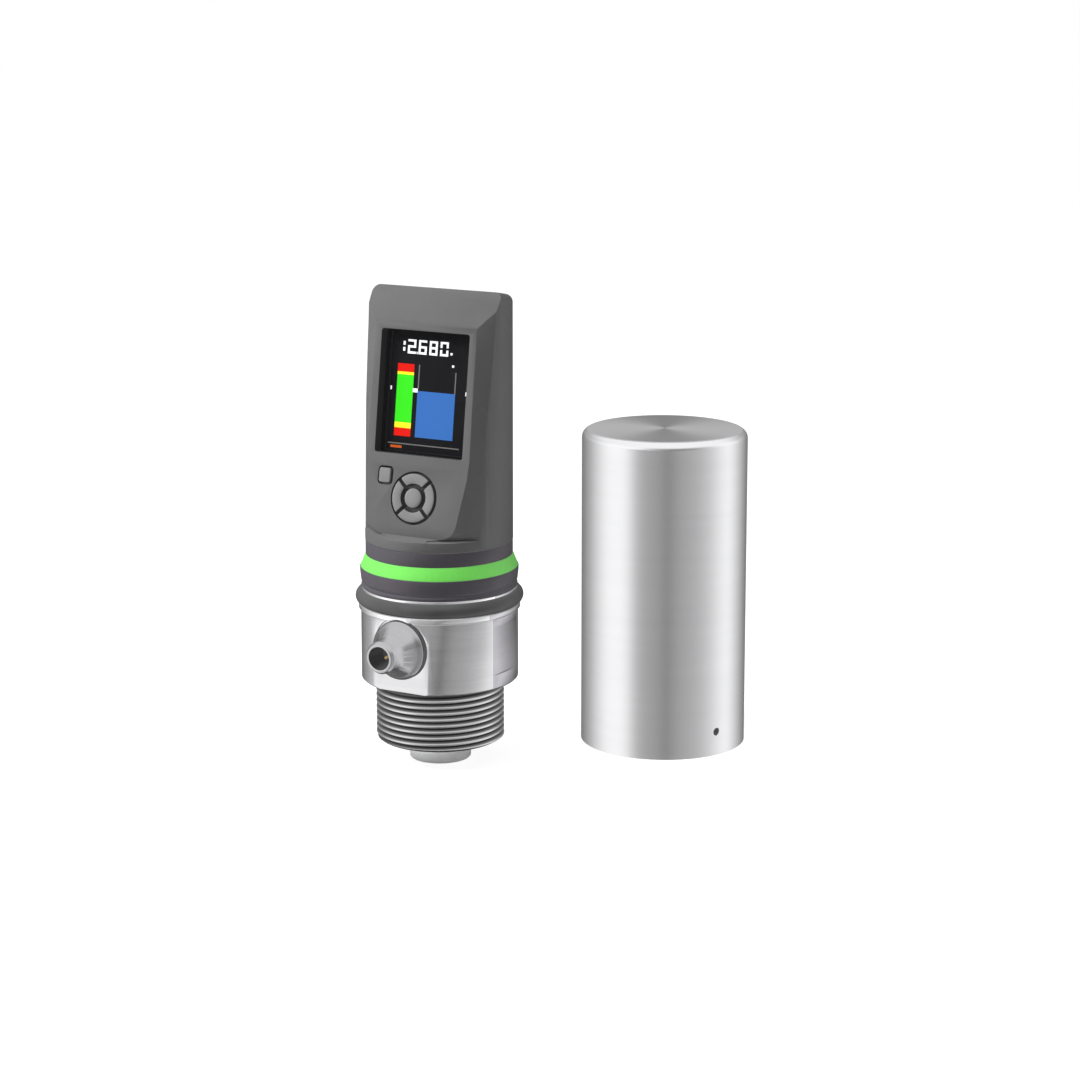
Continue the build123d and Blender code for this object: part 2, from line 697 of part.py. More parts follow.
def connector_shell():
    seat = FRONT_FLAT_D + GASKET_T
    tip = FRONT_FLAT_D + TIP_END
    return port_turned([
        (CONNECTOR_BORE, SHANK_D),
        (SHANK_R, SHANK_D),
        (SHANK_R, seat),
        (CONE_R0, seat),
        (CONE_R1, seat + CONE_STEP),
        (CONE_R2, seat + 2 * CONE_STEP),
        (TUBE_R, FRONT_FLAT_D + CONE_END),
        (TUBE_R, FRONT_FLAT_D + TUBE_END),
        (TIP_R, tip),
        (CONNECTOR_BORE + BORE_CHAMFER, tip),
        (CONNECTOR_BORE, tip - BORE_CHAMFER),
    ])


def connector_insert():
    return port_turned([
        (0, INSERT_BACK_D),
        (CONNECTOR_BORE - FIT, INSERT_BACK_D),
        (CONNECTOR_BORE - FIT, INSERT_FACE_D),
        (0, INSERT_FACE_D),
    ]) - Compound([pin_at(angle, FIT) for angle in PIN_ANGLES])


def pin_at(angle, growth=0.0):
    """One contact pin of the connector, grown to cut its own hole."""
    a = radians(angle)
    length = PIN_FACE_D - PIN_BACK_D
    spot = Pos(PIN_RING * cos(a), PIN_RING * sin(a), PIN_BACK_D + length / 2)
    return PORT * spot * Cylinder(PIN_R + growth, length)


def connector_pins():
    return Compound([pin_at(angle) for angle in PIN_ANGLES])


def base_collar():
    dip = COLLAR_GROOVE_DEPTH
    return turned([
        (SEAL_GROOVE_R + FIT, LIP_Z1),
        (COLLAR_LOW_R - COLLAR_EDGE, LIP_Z1),
        (COLLAR_LOW_R, LIP_Z1 + COLLAR_EDGE),
        (COLLAR_LOW_R, COLLAR_GROOVE_Z0),
        (COLLAR_GROOVE_R, COLLAR_GROOVE_Z0 + dip),
        (COLLAR_GROOVE_R, COLLAR_GROOVE_Z1 - dip),
        (COLLAR_LOW_R, COLLAR_GROOVE_Z1),
        (COLLAR_R, COLLAR_TOP - COLLAR_LAND),
        (COLLAR_R, COLLAR_TOP),
        (LED_RECESS_R, COLLAR_TOP),
        (LED_RECESS_R, LED_RECESS_Z),
        (SEAL_GROOVE_R + FIT, LED_RECESS_Z),
    ])


def led_board():
    return turned([
        (CAVITY_R + 2 * FIT, LED_RECESS_Z),
        (LED_RECESS_R - FIT, LED_RECESS_Z),
        (LED_RECESS_R - FIT, LED_RECESS_Z + LED_BOARD_T),
        (CAVITY_R + 2 * FIT, LED_RECESS_Z + LED_BOARD_T),
    ])


def status_leds():
    w, d, h = LED_SIZE
    lamp = Pos(LED_RING, 0, LED_RECESS_Z + LED_BOARD_T + h / 2) * Box(w, d, h)
    return Compound([Rot(0, 0, i * 360 / LED_COUNT) * lamp for i in range(LED_COUNT)])


def light_ring():
    inner = CAVITY_R + FIT
    return turned([
        (LIGHT_R0 - LIGHT_WALL, COLLAR_TOP),
        (LIGHT_R0, COLLAR_TOP),
        (LIGHT_R1, LIGHT_TOP),
        (inner, LIGHT_TOP),
        (inner, LIGHT_CHANNEL_Z),
        (LIGHT_R0 - LIGHT_WALL, LIGHT_CHANNEL_Z),
    ])


def neck_ring():
    ring_r = SWIVEL_R - 2 * SWIVEL_RING_R
    half = SWIVEL_RING_R + RING_SLACK
    neck = turned([
        (NECK_SLEEVE_BORE, NECK_SLEEVE_Z0),
        (CAVITY_R - FIT, NECK_SLEEVE_Z0),
        (CAVITY_R - FIT, LIGHT_TOP),
        (NECK_R, LIGHT_TOP),
        (NECK_R, NECK_TOP),
        (NECK_LAND_R, NECK_TOP),
        (NECK_LAND_R, NECK_LAND_Z),
        (SWIVEL_R, NECK_LAND_Z),
        (SWIVEL_R, SWIVEL_RING_Z - half),
        (ring_r, SWIVEL_RING_Z - half),
        (ring_r, SWIVEL_RING_Z + half),
        (SWIVEL_R, SWIVEL_RING_Z + half),
        (SWIVEL_R, CLIP_Z),
        (CLIP_GROOVE_R, CLIP_Z),
        (CLIP_GROOVE_R, CLIP_Z + CLIP_T),
        (SWIVEL_R, CLIP_Z + CLIP_T),
        (SWIVEL_R - SWIVEL_CHAMFER, SWIVEL_TOP),
        (NECK_SLEEVE_BORE, SWIVEL_TOP),
    ])
    return neck - Pos(0, STOP_PIN_RING, NECK_TOP) * Cylinder(STOP_PIN_R, 2 * STOP_PIN_DEPTH)


def swivel_seal():
    inner = SWIVEL_R - 2 * SWIVEL_RING_R
    return seal_ring(inner, SWIVEL_R - FIT, SWIVEL_RING_Z, 2 * SWIVEL_RING_R)


def swivel_clip():
    ring = turned([
        (CLIP_GROOVE_R, CLIP_Z),
        (CLIP_R, CLIP_Z),
        (CLIP_R, CLIP_Z + CLIP_T),
        (CLIP_GROOVE_R, CLIP_Z + CLIP_T),
    ])
    return ring - Pos(0, CLIP_R, CLIP_Z) * Box(CLIP_GAP, CLIP_R, 4 * CLIP_T)


def stop_pin():
    bottom = NECK_TOP - STOP_PIN_DEPTH
    length = STOP_PIN_TOP - bottom
    return Pos(0, STOP_PIN_RING, bottom + length / 2) * Cylinder(STOP_PIN_R, length)


def bearing_ring():
    ring = turned([
        (SWIVEL_R + FIT, HEAD_Z0),
        (PLATE_R, HEAD_Z0),
        (PLATE_R, PLATE_TOP),
        (BEARING_R, PLATE_TOP),
        (BEARING_R, BEARING_TOP),
        (SWIVEL_R + FIT, BEARING_TOP),
    ])
    groove = turned([
        (STOP_GROOVE_R0, HEAD_Z0 - OVERCUT),
        (STOP_GROOVE_R1, HEAD_Z0 - OVERCUT),
        (STOP_GROOVE_R1, STOP_GROOVE_TOP),
        (STOP_GROOVE_R0, STOP_GROOVE_TOP),
    ])
    web = ring_wedge(2 * HEAD_R, STOP_WEB_HALF, -90, HEAD_Z0 - 2 * OVERCUT, STOP_GROOVE_TOP + OVERCUT)
    return ring - (groove - web)


def top_z(y, under=0.0):
    """Height of the sloping top at y, lowered square to it by under."""
    edge_y = -hood_d(TOP_Z)
    return TOP_Z - under / cos(radians(TOP_TILT)) - TOP_SLOPE * (y - edge_y)


def facet_section(side, z, edge_inset, rim_inset):
    """Outline at height z of what a corner facet takes away, beyond its edge and rim points."""
    rim_u = HEAD_R - rim_inset
    edge = Vector(HEAD_R - edge_inset, max(face_d(z), keypad_d(z)))
    rim = Vector(rim_u, (HEAD_R ** 2 - rim_u ** 2) ** 0.5)
    along = (rim - edge).normalized() * FACET_REACH
    outward = Vector(-along.Y, along.X) * FACET_REACH
    corners = (edge - along, rim + along, rim + along + outward, edge - along + outward)
    return make_face(Polyline(*[(side * c.X, -c.Y, z) for c in corners], close=True))


def head_blank():
    """Cylinder cut by the sloping top, the hood, face, keypad face and corner facets."""
    blank = Pos(0, 0, HEAD_Z0) * Cylinder(HEAD_R, FAR + HEAD_R, align=(Align.CENTER, Align.CENTER, Align.MIN))
    blank -= side_prism([(-FAR, top_z(-FAR)), (FAR, top_z(FAR)), (FAR, TOP_Z + FAR), (-FAR, TOP_Z + FAR)])
    rim = blank.edges().filter_by(GeomType.ELLIPSE).sort_by(Axis.Z)[-1:]
    blank = fillet(rim, TOP_EDGE_R)
    high = TOP_Z + HEAD_R
    blank -= side_prism([
        (-FAR, SHELF_RIM_Z),
        (-HEAD_R, SHELF_RIM_Z),
        (-keypad_d(SHELF_Z), SHELF_Z),
        (-face_d(KEYPAD_TOP_Z), KEYPAD_TOP_Z),
        (-face_d(HOOD_Z), HOOD_Z),
        (-hood_d(high), high),
        (-FAR, high),
    ])
    for side in (-1, 1):
        blank -= loft([facet_section(side, *row) for row in FACETS], ruled=True)
    return blank


def screen_recess():
    """Pocket of the screen, square to the face, down to the window's seat."""
    height = (SCREEN_Z1 - SCREEN_Z0) / cos(radians(FACE_TILT))
    mouth = RectangleRounded(2 * SCREEN_HALF_W, height, SCREEN_CORNER_R)
    depth = WINDOW_DEPTH + SEAT_D
    return extrude(FACE_PLANE * Pos(0, 0, -depth) * mouth, amount=2 * depth)


def head_cavity():
    """Room for the boards, kept a wall thickness behind every outer face."""
    inner_r = HEAD_R - HEAD_WALL
    behind = (WINDOW_DEPTH + LCD_FACE) / cos(radians(FACE_TILT))
    wall = HEAD_WALL / cos(radians(KEYPAD_TILT))
    hood_wall = HEAD_WALL / cos(radians(HOOD_TILT))
    step_z = SCREEN_Z0 - HEAD_WALL
    crease_z = HOOD_Z + (behind - hood_wall) / (HOOD_SLOPE - FACE_SLOPE)
    crown_z = TOP_Z - HEAD_WALL
    crown_y = -(hood_d(crown_z) - hood_wall)
    floor = PLATE_TOP + FIT
    profile = [
        (FAR, top_z(FAR, HEAD_WALL)),
        (FAR, floor),
        (-(keypad_d(floor) - wall), floor),
        (-(keypad_d(step_z) - wall), step_z),
        (-(face_d(step_z) - behind), step_z),
        (-(face_d(crease_z) - behind), crease_z),
        (crown_y, top_z(crown_y, HEAD_WALL)),
    ]
    tube = Pos(0, 0, HEAD_Z0) * Cylinder(inner_r, FAR + HEAD_R, align=(Align.CENTER, Align.CENTER, Align.MIN))
    cavity = side_prism(profile) & tube
    corner = Box(HEAD_R, HEAD_R, FOOT_CORNER_TOP - floor)
    for side in (-1, 1):
        u = side * (FOOT_CORNER_U + HEAD_R / 2)
        cavity -= Pos(u, -FOOT_CORNER_D - HEAD_R / 2, (FOOT_CORNER_TOP + floor) / 2) * corner
    return cavity


def key_holes():
    """Round and square openings of the keypad wall."""
    round_hole = peg(PAD_PLANE, (0, 0), PAD_HOLE_R, -OVERCUT, KEY_FLANGE_TOP)
    mouth = RectangleRounded(MENU_SIZE[0] + 2 * KEY_PLAY, MENU_SIZE[1] + 2 * KEY_PLAY,
                             MENU_CORNER_R + KEY_PLAY)
    menu = extrude(PAD_PLANE * Pos(MENU_U, pad_v(MENU_Z), -KEY_FLANGE_TOP) * mouth,
                   amount=KEY_FLANGE_TOP + OVERCUT)
    return round_hole, menu


def head_housing():
    housing = head_blank()
    housing -= screen_recess()
    housing -= head_cavity()
    opening = (-OPENING_HALF_W, OPENING_HALF_W)
    housing -= slab(WINDOW_PLANE, opening, (-OPENING_HALF_H, OPENING_HALF_H), 0, LCD_FACE + OVERCUT)
    for hole in key_holes():
        housing -= hole
    housing -= Pos(0, 0, HEAD_Z0) * Cylinder(PLATE_R + FIT, 2 * (PLATE_TOP + FIT - HEAD_Z0))
    for at in KEY_BOSSES:
        boss = peg(PAD_PLANE, at, BOSS_R, HEAD_WALL - BOSS_ROOT, KEYBOARD_FACE)
        housing += boss - peg(PAD_PLANE, at, SCREW_SHANK_R + FIT, HEAD_WALL, KEYBOARD_FACE + OVERCUT)
    for at in DISPLAY_BOSSES:
        housing += peg(WINDOW_PLANE, at, DISPLAY_BOSS_R, LCD_FACE - BOSS_ROOT, LCD_BACK)
        housing -= peg(WINDOW_PLANE, at, SCREW_SHANK_R + FIT, LCD_FACE, LCD_BACK + OVERCUT)
    return housing


def window_outline(shrink):
    """Rounded outline of the window seat, smaller by shrink on each side."""
    height = (SCREEN_Z1 - SCREEN_Z0) / cos(radians(FACE_TILT))
    return RectangleRounded(2 * (SCREEN_HALF_W - shrink), height - 2 * shrink, SCREEN_CORNER_R)


def display_window():
    return extrude(WINDOW_PLANE * Pos(0, 0, -WINDOW_T) * window_outline(WINDOW_GAP), amount=WINDOW_T)


def window_gasket():
    frame = extrude(WINDOW_PLANE * Pos(0, 0, -SEAT_D) * window_outline(WINDOW_GAP), amount=GASKET_TAPE_T)
    opening = (-OPENING_HALF_W, OPENING_HALF_W)
    return frame - slab(WINDOW_PLANE, opening, (-OPENING_HALF_H, OPENING_HALF_H), 0, LCD_FACE)


def lcd_module():
    half_h = SCREEN_H / 2
    return slab(WINDOW_PLANE, (-LCD_HALF_W, LCD_HALF_W), (-half_h, half_h), LCD_FACE, LCD_BACK)


def field(x, y):
    """Flat colour field on the display between two columns and two rows of pixels."""
    u = [(2 * column / PIXELS[0] - 1) * OPENING_HALF_W for column in x]
    v = [(2 * row / PIXELS[1] - 1) * OPENING_HALF_H for row in y]
    return slab(WINDOW_PLANE, u, v, LCD_FACE - FIELD_T, LCD_FACE)


def lcd_alarm_fields():
    return Compound([field(BAR_X, BAR_RED_HI), field(BAR_X, BAR_RED_LO)])


def lcd_warning_fields():
    return Compound([field(BAR_X, BAR_YELLOW_HI), field(BAR_X, BAR_YELLOW_LO)])


def lcd_normal_field():
    return field(BAR_X, BAR_GREEN)


def lcd_level_field():
    return field(TANK_X, TANK_Y)


SEGMENTS = {
    "0": "abcdef", "1": "bc", "2": "abged", "6": "acdefg", "8": "abcdefg",
}


def segment_field(name, x0):
    """One bar of a seven bar numeral whose left edge is at column x0."""
    y0, y1 = DIGIT_Y
    mid = (y0 + y1) / 2
    half = SEGMENT_PX / 2
    x1 = x0 + DIGIT_PX
    across = {"a": y1 - SEGMENT_PX, "g": mid - half, "d": y0}
    upright = {"b": (x1 - SEGMENT_PX, mid + half, y1 - SEGMENT_PX),
               "c": (x1 - SEGMENT_PX, y0 + SEGMENT_PX, mid - half),
               "e": (x0, y0 + SEGMENT_PX, mid - half),
               "f": (x0, mid + half, y1 - SEGMENT_PX)}
    if name in across:
        return field((x0, x1), (across[name], across[name] + SEGMENT_PX))
    left, low, top = upright[name]
    return field((left, left + SEGMENT_PX), (low, top))


def spot(at, size):
    """Small colour field centred on a pixel."""
    x, y = at
    w, h = size
    return field((x - w / 2, x + w / 2), (y - h / 2, y + h / 2))


def lcd_readout():
    """White marks of the display: reading, pointer, dots and side ticks."""
    marks = []
    for place, digit in enumerate(DIGITS):
        x0 = DIGIT_X0 + place * DIGIT_PITCH_PX
        marks += [segment_field(name, x0) for name in SEGMENTS[digit]]
    square = (SEGMENT_PX, SEGMENT_PX)
    point_x = DIGIT_X0 + POINT_AFTER * DIGIT_PITCH_PX - (DIGIT_PITCH_PX - DIGIT_PX) / 2
    marks.append(spot((point_x, DIGIT_Y[0] + SEGMENT_PX / 2), (SEGMENT_PX / 2, SEGMENT_PX)))
    marks.append(spot(UNIT_MARK, square))
    marks.append(spot(TANK_DOT, square))
    marks.append(field(POINTER_X, POINTER_Y))
    for x in TICK_X:
        marks.append(spot((x, TICK_Y), TICK_PX))
    return Compound(marks)


def lcd_outline_fields():
    """Dim lines of the display: the tank's two sides and the line along the foot."""
    left = (TANK_X[0], TANK_X[0] + LINE_PX)
    right = (TANK_X[1] - LINE_PX, TANK_X[1])
    lines = [field(left, (POINTER_Y[1], TANK_SIDE_TOP[0])), field(right, (TANK_Y[1], TANK_SIDE_TOP[1]))]
    lines.append(field(FOOT_LINE_X, (FOOT_LINE_Y, FOOT_LINE_Y + LINE_PX)))
    return Compound(lines)


def lcd_lamp_field():
    return spot(LAMP_AT, LAMP_PX)


def display_board():
    half_w = HEAD_R - DISPLAY_BOARD_INSET
    v = (-DISPLAY_BOARD_HALF_H, DISPLAY_BOARD_HALF_H)
    board = slab(WINDOW_PLANE, (-half_w, half_w), v, LCD_BACK, DISPLAY_BOARD_BACK)
    return drilled(board, WINDOW_PLANE, DISPLAY_BOSSES, LCD_BACK, DISPLAY_BOARD_BACK)


def placed_screws(plane, points, depth, length):
    """Screws seated at a depth behind a plane, heads pointing inward."""
    one = Rot(180, 0, 0) * screw(length)
    return Compound([plane * Pos(x, y, -depth) * one for x, y in points])


def display_screws():
    return placed_screws(WINDOW_PLANE, DISPLAY_BOSSES, DISPLAY_BOARD_BACK, BOARD_T + LCD_T - 2 * FIT)


def board_spacers():
    posts = []
    for at in SPACER_POINTS:
        post = peg(WINDOW_PLANE, at, SPACER_R, DISPLAY_BOARD_BACK, MAIN_BOARD_FACE)
        bore = (MAIN_BOARD_FACE - SPACER_BORE, MAIN_BOARD_FACE + OVERCUT)
        posts.append(post - peg(WINDOW_PLANE, at, SCREW_SHANK_R + FIT, *bore))
    return Compound(posts)


def main_board():
    half_w = HEAD_R - MAIN_BOARD_INSET
    v = (MAIN_BOARD_SHIFT - MAIN_BOARD_HALF_H, MAIN_BOARD_SHIFT + MAIN_BOARD_HALF_H)
    board = slab(WINDOW_PLANE, (-half_w, half_w), v, MAIN_BOARD_FACE, MAIN_BOARD_BACK)
    return drilled(board, WINDOW_PLANE, SPACER_POINTS, MAIN_BOARD_FACE, MAIN_BOARD_BACK)


def main_board_screws():
    return placed_screws(WINDOW_PLANE, SPACER_POINTS, MAIN_BOARD_BACK, BOARD_T + SCREW_BITE)


def main_board_chips():
    chips = []
    for u, v, w, h, t in CHIPS:
        chips.append(slab(WINDOW_PLANE, (u - w / 2, u + w / 2), (v - h / 2, v + h / 2),
                          MAIN_BOARD_BACK, MAIN_BOARD_BACK + t))
    return Compound(chips)


def keypad_membrane():
    across = (MAT_PLAY - KEYBOARD_HALF_W, KEY_BOSS_U - BOSS_R + MAT_PLAY)
    mat = slab(PAD_PLANE, across, MAT_V, MEMBRANE_TOP, MEMBRANE_BACK)
    for at in KEY_BOSSES:
        mat -= peg(PAD_PLANE, at, BOSS_R + BOSS_PLAY, MEMBRANE_TOP - OVERCUT, MEMBRANE_BACK + OVERCUT)
    return mat


def keypad_board():
    across = (-KEYBOARD_HALF_W, KEYBOARD_HALF_W)
    back = KEYBOARD_FACE + KEYBOARD_T
    board = slab(PAD_PLANE, across, KEYBOARD_V, KEYBOARD_FACE, back)
    return drilled(board, PAD_PLANE, KEY_BOSSES, KEYBOARD_FACE, back)


def keypad_board_screws():
    back = KEYBOARD_FACE + KEYBOARD_T
    return placed_screws(PAD_PLANE, KEY_BOSSES, back, KEYBOARD_T + SCREW_BITE)


def tactile_switches():
    w, h, _ = SWITCH_SIZE
    spots = [(0, 0), (MENU_U, pad_v(MENU_Z))]
    for angle in (0, 90, 180, 270):
        spots.append((SWITCH_RING * cos(radians(angle)), SWITCH_RING * sin(radians(angle))))
    switches = []
    for u, v in spots:
        switches.append(slab(PAD_PLANE, (u - w / 2, u + w / 2), (v - h / 2, v + h / 2),
                             MEMBRANE_BACK, KEYBOARD_FACE))
    return Compound(switches)


def arc_key(angle):
    """One of the four arrow keys, a quarter of a crowned ring with a flange."""
    outline = [
        (PAD_INNER_R, KEY_BOTTOM),
        (PAD_R + KEY_FLANGE_W, KEY_BOTTOM),
        (PAD_R + KEY_FLANGE_W, -KEY_FLANGE_TOP),
        (PAD_R, -KEY_FLANGE_TOP),
    ]
    outline += [(PAD_R - inset, KEY_RISE - drop) for inset, drop in ARC_CROWN_OUT]
    outline += [(PAD_INNER_R + inset, KEY_RISE - drop) for inset, drop in ARC_CROWN_IN]
    half = PAD_SPLIT / 2 * 2 ** 0.5
    quarter = Polyline((half, 0), (half + PAD_R, PAD_R), (half + PAD_R, -PAD_R), close=True)
    wedge = extrude(make_face(quarter), amount=FAR, both=True)
    return PAD_PLANE * ((Rot(0, 0, angle) * wedge) & turned(outline))


def key_enter():
    outline = [(0, KEY_BOTTOM), (ENTER_R, KEY_BOTTOM)]
    outline += [(ENTER_R - inset, ENTER_RISE - drop) for inset, drop in ENTER_CROWN]
    return PAD_PLANE * turned(outline)


def key_menu():
    w, h = MENU_SIZE
    cap = extrude(Pos(0, 0, KEY_BOTTOM) * RectangleRounded(w, h, MENU_CORNER_R), amount=KEY_RISE - KEY_BOTTOM)
    cap = chamfer(cap.faces().sort_by(Axis.Z)[-1].edges(), MENU_CHAMFER)
    plate = RectangleRounded(w + 2 * MENU_FLANGE_W, h + 2 * MENU_FLANGE_W, MENU_CORNER_R)
    flange = extrude(Pos(-MENU_FLANGE_SHIFT, MENU_FLANGE_SHIFT, KEY_BOTTOM) * plate, amount=KEY_FLANGE_T)
    return PAD_PLANE * Pos(MENU_U, pad_v(MENU_Z), 0) * (cap + flange)


def cover_spot(az, r, z):
    """Point on the standing cover at an azimuth from -Y towards +X."""
    a = radians(az)
    return (COVER_AT[0] + r * sin(a), COVER_AT[1] - r * cos(a), z)


def set_screw_plane():
    a = radians(SET_SCREW_AZ)
    return Plane(origin=cover_spot(SET_SCREW_AZ, 0, INSULATOR_Z0 + SET_SCREW_H),
                 x_dir=(cos(a), sin(a), 0), z_dir=(sin(a), -cos(a), 0))


def head_cover():
    inner = COVER_R - COVER_WALL
    shell = Cylinder(COVER_R, COVER_H, align=(Align.CENTER, Align.CENTER, Align.MIN))
    shell = fillet(shell.edges().filter_by(GeomType.CIRCLE).sort_by(Axis.Z)[-1:], COVER_EDGE_R)
    room = Cylinder(inner, COVER_H - COVER_WALL, align=(Align.CENTER, Align.CENTER, Align.MIN))
    room = fillet(room.edges().filter_by(GeomType.CIRCLE).sort_by(Axis.Z)[-1:], COVER_EDGE_R - COVER_WALL)
    shell -= room
    shell -= turned([
        (inner - OVERCUT, -OVERCUT),
        (inner + COVER_RIM_CHAMFER, -OVERCUT),
        (inner + COVER_RIM_CHAMFER, 0),
        (inner, COVER_RIM_CHAMFER),
        (inner - OVERCUT, COVER_RIM_CHAMFER),
    ])
    shell = Pos(COVER_AT[0], COVER_AT[1], INSULATOR_Z0) * shell
    return shell - set_screw_plane() * Pos(0, 0, COVER_R) * Cylinder(SET_SCREW_HOLE_R, 4 * COVER_WALL)


def cover_set_screw():
    length = SET_SCREW_OUT - SET_SCREW_IN
    body = Pos(0, 0, SET_SCREW_IN + length / 2) * Cylinder(SET_SCREW_R, length)
    drive = Pos(0, 0, SET_SCREW_OUT) * extrude(RegularPolygon(SET_SCREW_DRIVE_R, 6),
                                               amount=-SET_SCREW_DRIVE_DEPTH)
    return set_screw_plane() * (body - drive)


PIECES = {
    "process_body": process_body,
    "probe_insulator": probe_insulator,
    "insulator_seals": insulator_seals,
    "insulator_clamp_nut": insulator_clamp_nut,
    "probe_conductor": probe_conductor,
    "conductor_seal": conductor_seal,
    "feed_pin": feed_pin,
    "base_standoffs": base_standoffs,
    "rf_board": rf_board,
    "base_board_screws": base_board_screws,
    "rf_shield": rf_shield,
    "cable_socket": cable_socket,
    "head_cable": head_cable,
    "cover_seal_o_ring": cover_seal_o_ring,
    "connector_gasket": connector_gasket,
    "connector_shell": connector_shell,
    "connector_insert": connector_insert,
    "connector_pins": connector_pins,
    "base_collar": base_collar,
    "led_board": led_board,
    "status_leds": status_leds,
    "light_ring": light_ring,
    "neck_ring": neck_ring,
    "swivel_seal": swivel_seal,
    "swivel_clip": swivel_clip,
    "stop_pin": stop_pin,
    "bearing_ring": bearing_ring,
    "head_housing": head_housing,
    "head_ribbon": head_ribbon,
    "display_window": display_window,
    "window_gasket": window_gasket,
    "lcd_module": lcd_module,
    "lcd_alarm_fields": lcd_alarm_fields,
    "lcd_warning_fields": lcd_warning_fields,
    "lcd_normal_field": lcd_normal_field,
    "lcd_level_field": lcd_level_field,
    "lcd_readout": lcd_readout,
    "lcd_outline_fields": lcd_outline_fields,
    "lcd_lamp_field": lcd_lamp_field,
    "display_board": display_board,
    "display_screws": display_screws,
    "board_spacers": board_spacers,
    "main_board": main_board,
    "main_board_screws": main_board_screws,
    "main_board_chips": main_board_chips,
    "keypad_membrane": keypad_membrane,
    "keypad_board": keypad_board,
    "keypad_board_screws": keypad_board_screws,
    "tactile_switches": tactile_switches,
    "key_enter": key_enter,
    "key_menu": key_menu,
    "key_right": lambda: arc_key(0),
    "key_up": lambda: arc_key(90),
    "key_left": lambda: arc_key(180),
    "key_down": lambda: arc_key(270),
    "head_cover": head_cover,
    "cover_set_screw": cover_set_screw,
}

os.makedirs("parts", exist_ok=True)
for node, build_piece in PIECES.items():
    export_step(build_piece(), "parts/" + node + ".step")
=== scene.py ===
import json
from math import cos, pi, radians, sin, tan
import bmesh
import bpy
import numpy as np
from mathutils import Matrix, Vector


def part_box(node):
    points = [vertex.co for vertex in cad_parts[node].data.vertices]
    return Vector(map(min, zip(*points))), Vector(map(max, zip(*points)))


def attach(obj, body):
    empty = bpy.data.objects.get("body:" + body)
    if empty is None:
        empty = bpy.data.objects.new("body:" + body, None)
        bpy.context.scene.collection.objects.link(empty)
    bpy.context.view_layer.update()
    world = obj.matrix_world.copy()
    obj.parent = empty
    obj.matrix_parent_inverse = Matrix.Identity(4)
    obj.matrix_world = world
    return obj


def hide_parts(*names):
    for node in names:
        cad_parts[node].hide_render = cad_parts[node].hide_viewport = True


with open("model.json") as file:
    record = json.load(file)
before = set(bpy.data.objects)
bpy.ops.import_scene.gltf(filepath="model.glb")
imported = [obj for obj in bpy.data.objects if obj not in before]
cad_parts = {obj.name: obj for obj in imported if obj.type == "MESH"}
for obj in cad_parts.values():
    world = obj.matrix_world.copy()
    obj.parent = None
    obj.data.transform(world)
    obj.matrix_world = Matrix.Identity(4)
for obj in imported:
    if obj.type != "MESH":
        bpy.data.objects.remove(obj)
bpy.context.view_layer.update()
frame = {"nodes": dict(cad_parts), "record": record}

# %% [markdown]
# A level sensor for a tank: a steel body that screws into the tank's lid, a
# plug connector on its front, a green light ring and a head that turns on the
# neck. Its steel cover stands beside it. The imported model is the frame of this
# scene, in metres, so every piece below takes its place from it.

MM = 0.001

# %% [markdown]
# The photograph looks down a little on the sensor from its front right, with
# a long lens, so upright edges stay almost parallel. A camera is set by where
# it stands, where it looks and its lens. The numbers, in metres and degrees,
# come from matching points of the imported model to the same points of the
# photograph.

# %% Camera
CAMERA_AZIMUTH = radians(31.4)
CAMERA_REACH = 0.981
CAMERA_HEIGHT = 0.2718
CAMERA_PITCH = radians(10.37)
CAMERA_YAW = radians(-2.18)
LENS = 90.33
SHIFT_UP = -0.1

camera_data = bpy.data.cameras.new("camera")
camera_data.lens = LENS
camera_data.sensor_width = 36.0
camera_data.sensor_fit = "HORIZONTAL"
camera_data.shift_y = SHIFT_UP
camera_data.clip_start = 0.05
camera_data.clip_end = 50.0
camera = bpy.data.objects.new("camera", camera_data)
camera.location = (
    CAMERA_REACH * sin(CAMERA_AZIMUTH), -CAMERA_REACH * cos(CAMERA_AZIMUTH), CAMERA_HEIGHT)
camera.rotation_euler = (pi / 2 - CAMERA_PITCH, 0, CAMERA_AZIMUTH + CAMERA_YAW)
bpy.context.scene.collection.objects.link(camera)
bpy.context.scene.camera = camera
bpy.context.scene.view_settings.view_transform = "Standard"
print("camera at", [round(v, 3) for v in camera.location])

# %% [markdown]
# The world and the materials are graphs of small nodes. Each helper adds one
# node, or a few that belong together, and gives back its output socket. Calls
# put inside each other then read like the formula that they stand for.

# %% Node helpers


def link(tree, source, target):
    """Joins an output socket to an input socket of the same node tree."""
    tree.links.new(source, target)


def math_node(tree, operation, a, b=None):
    """Math node whose inputs are sockets or plain numbers; gives its output socket."""
    node = tree.nodes.new("ShaderNodeMath")
    node.operation = operation
    for slot, value in ((0, a), (1, b)):
        if value is None:
            continue
        if isinstance(value, (int, float)):
            node.inputs[slot].default_value = value
        else:
            link(tree, value, node.inputs[slot])
    return node.outputs[0]


def all_of(tree, *tests):
    """Product of tests that are each 0 or 1, so it is 1 only where every test is 1."""
    result = tests[0]
    for test in tests[1:]:
        result = math_node(tree, "MULTIPLY", result, test)
    return result


def ramp_node(tree, factor, stops, smooth=True):
    """Colour ramp over a factor; stops are (position, grey or colour)."""
    node = tree.nodes.new("ShaderNodeValToRGB")
    ramp = node.color_ramp
    ramp.interpolation = "EASE" if smooth else "LINEAR"
    while len(ramp.elements) < len(stops):
        ramp.elements.new(0.5)
    for element, (position, value) in zip(ramp.elements, stops):
        element.position = position
        colour = (value,) * 3 if isinstance(value, (int, float)) else value
        element.color = (*colour, 1.0)
    link(tree, factor, node.inputs["Fac"])
    return node.outputs["Color"]


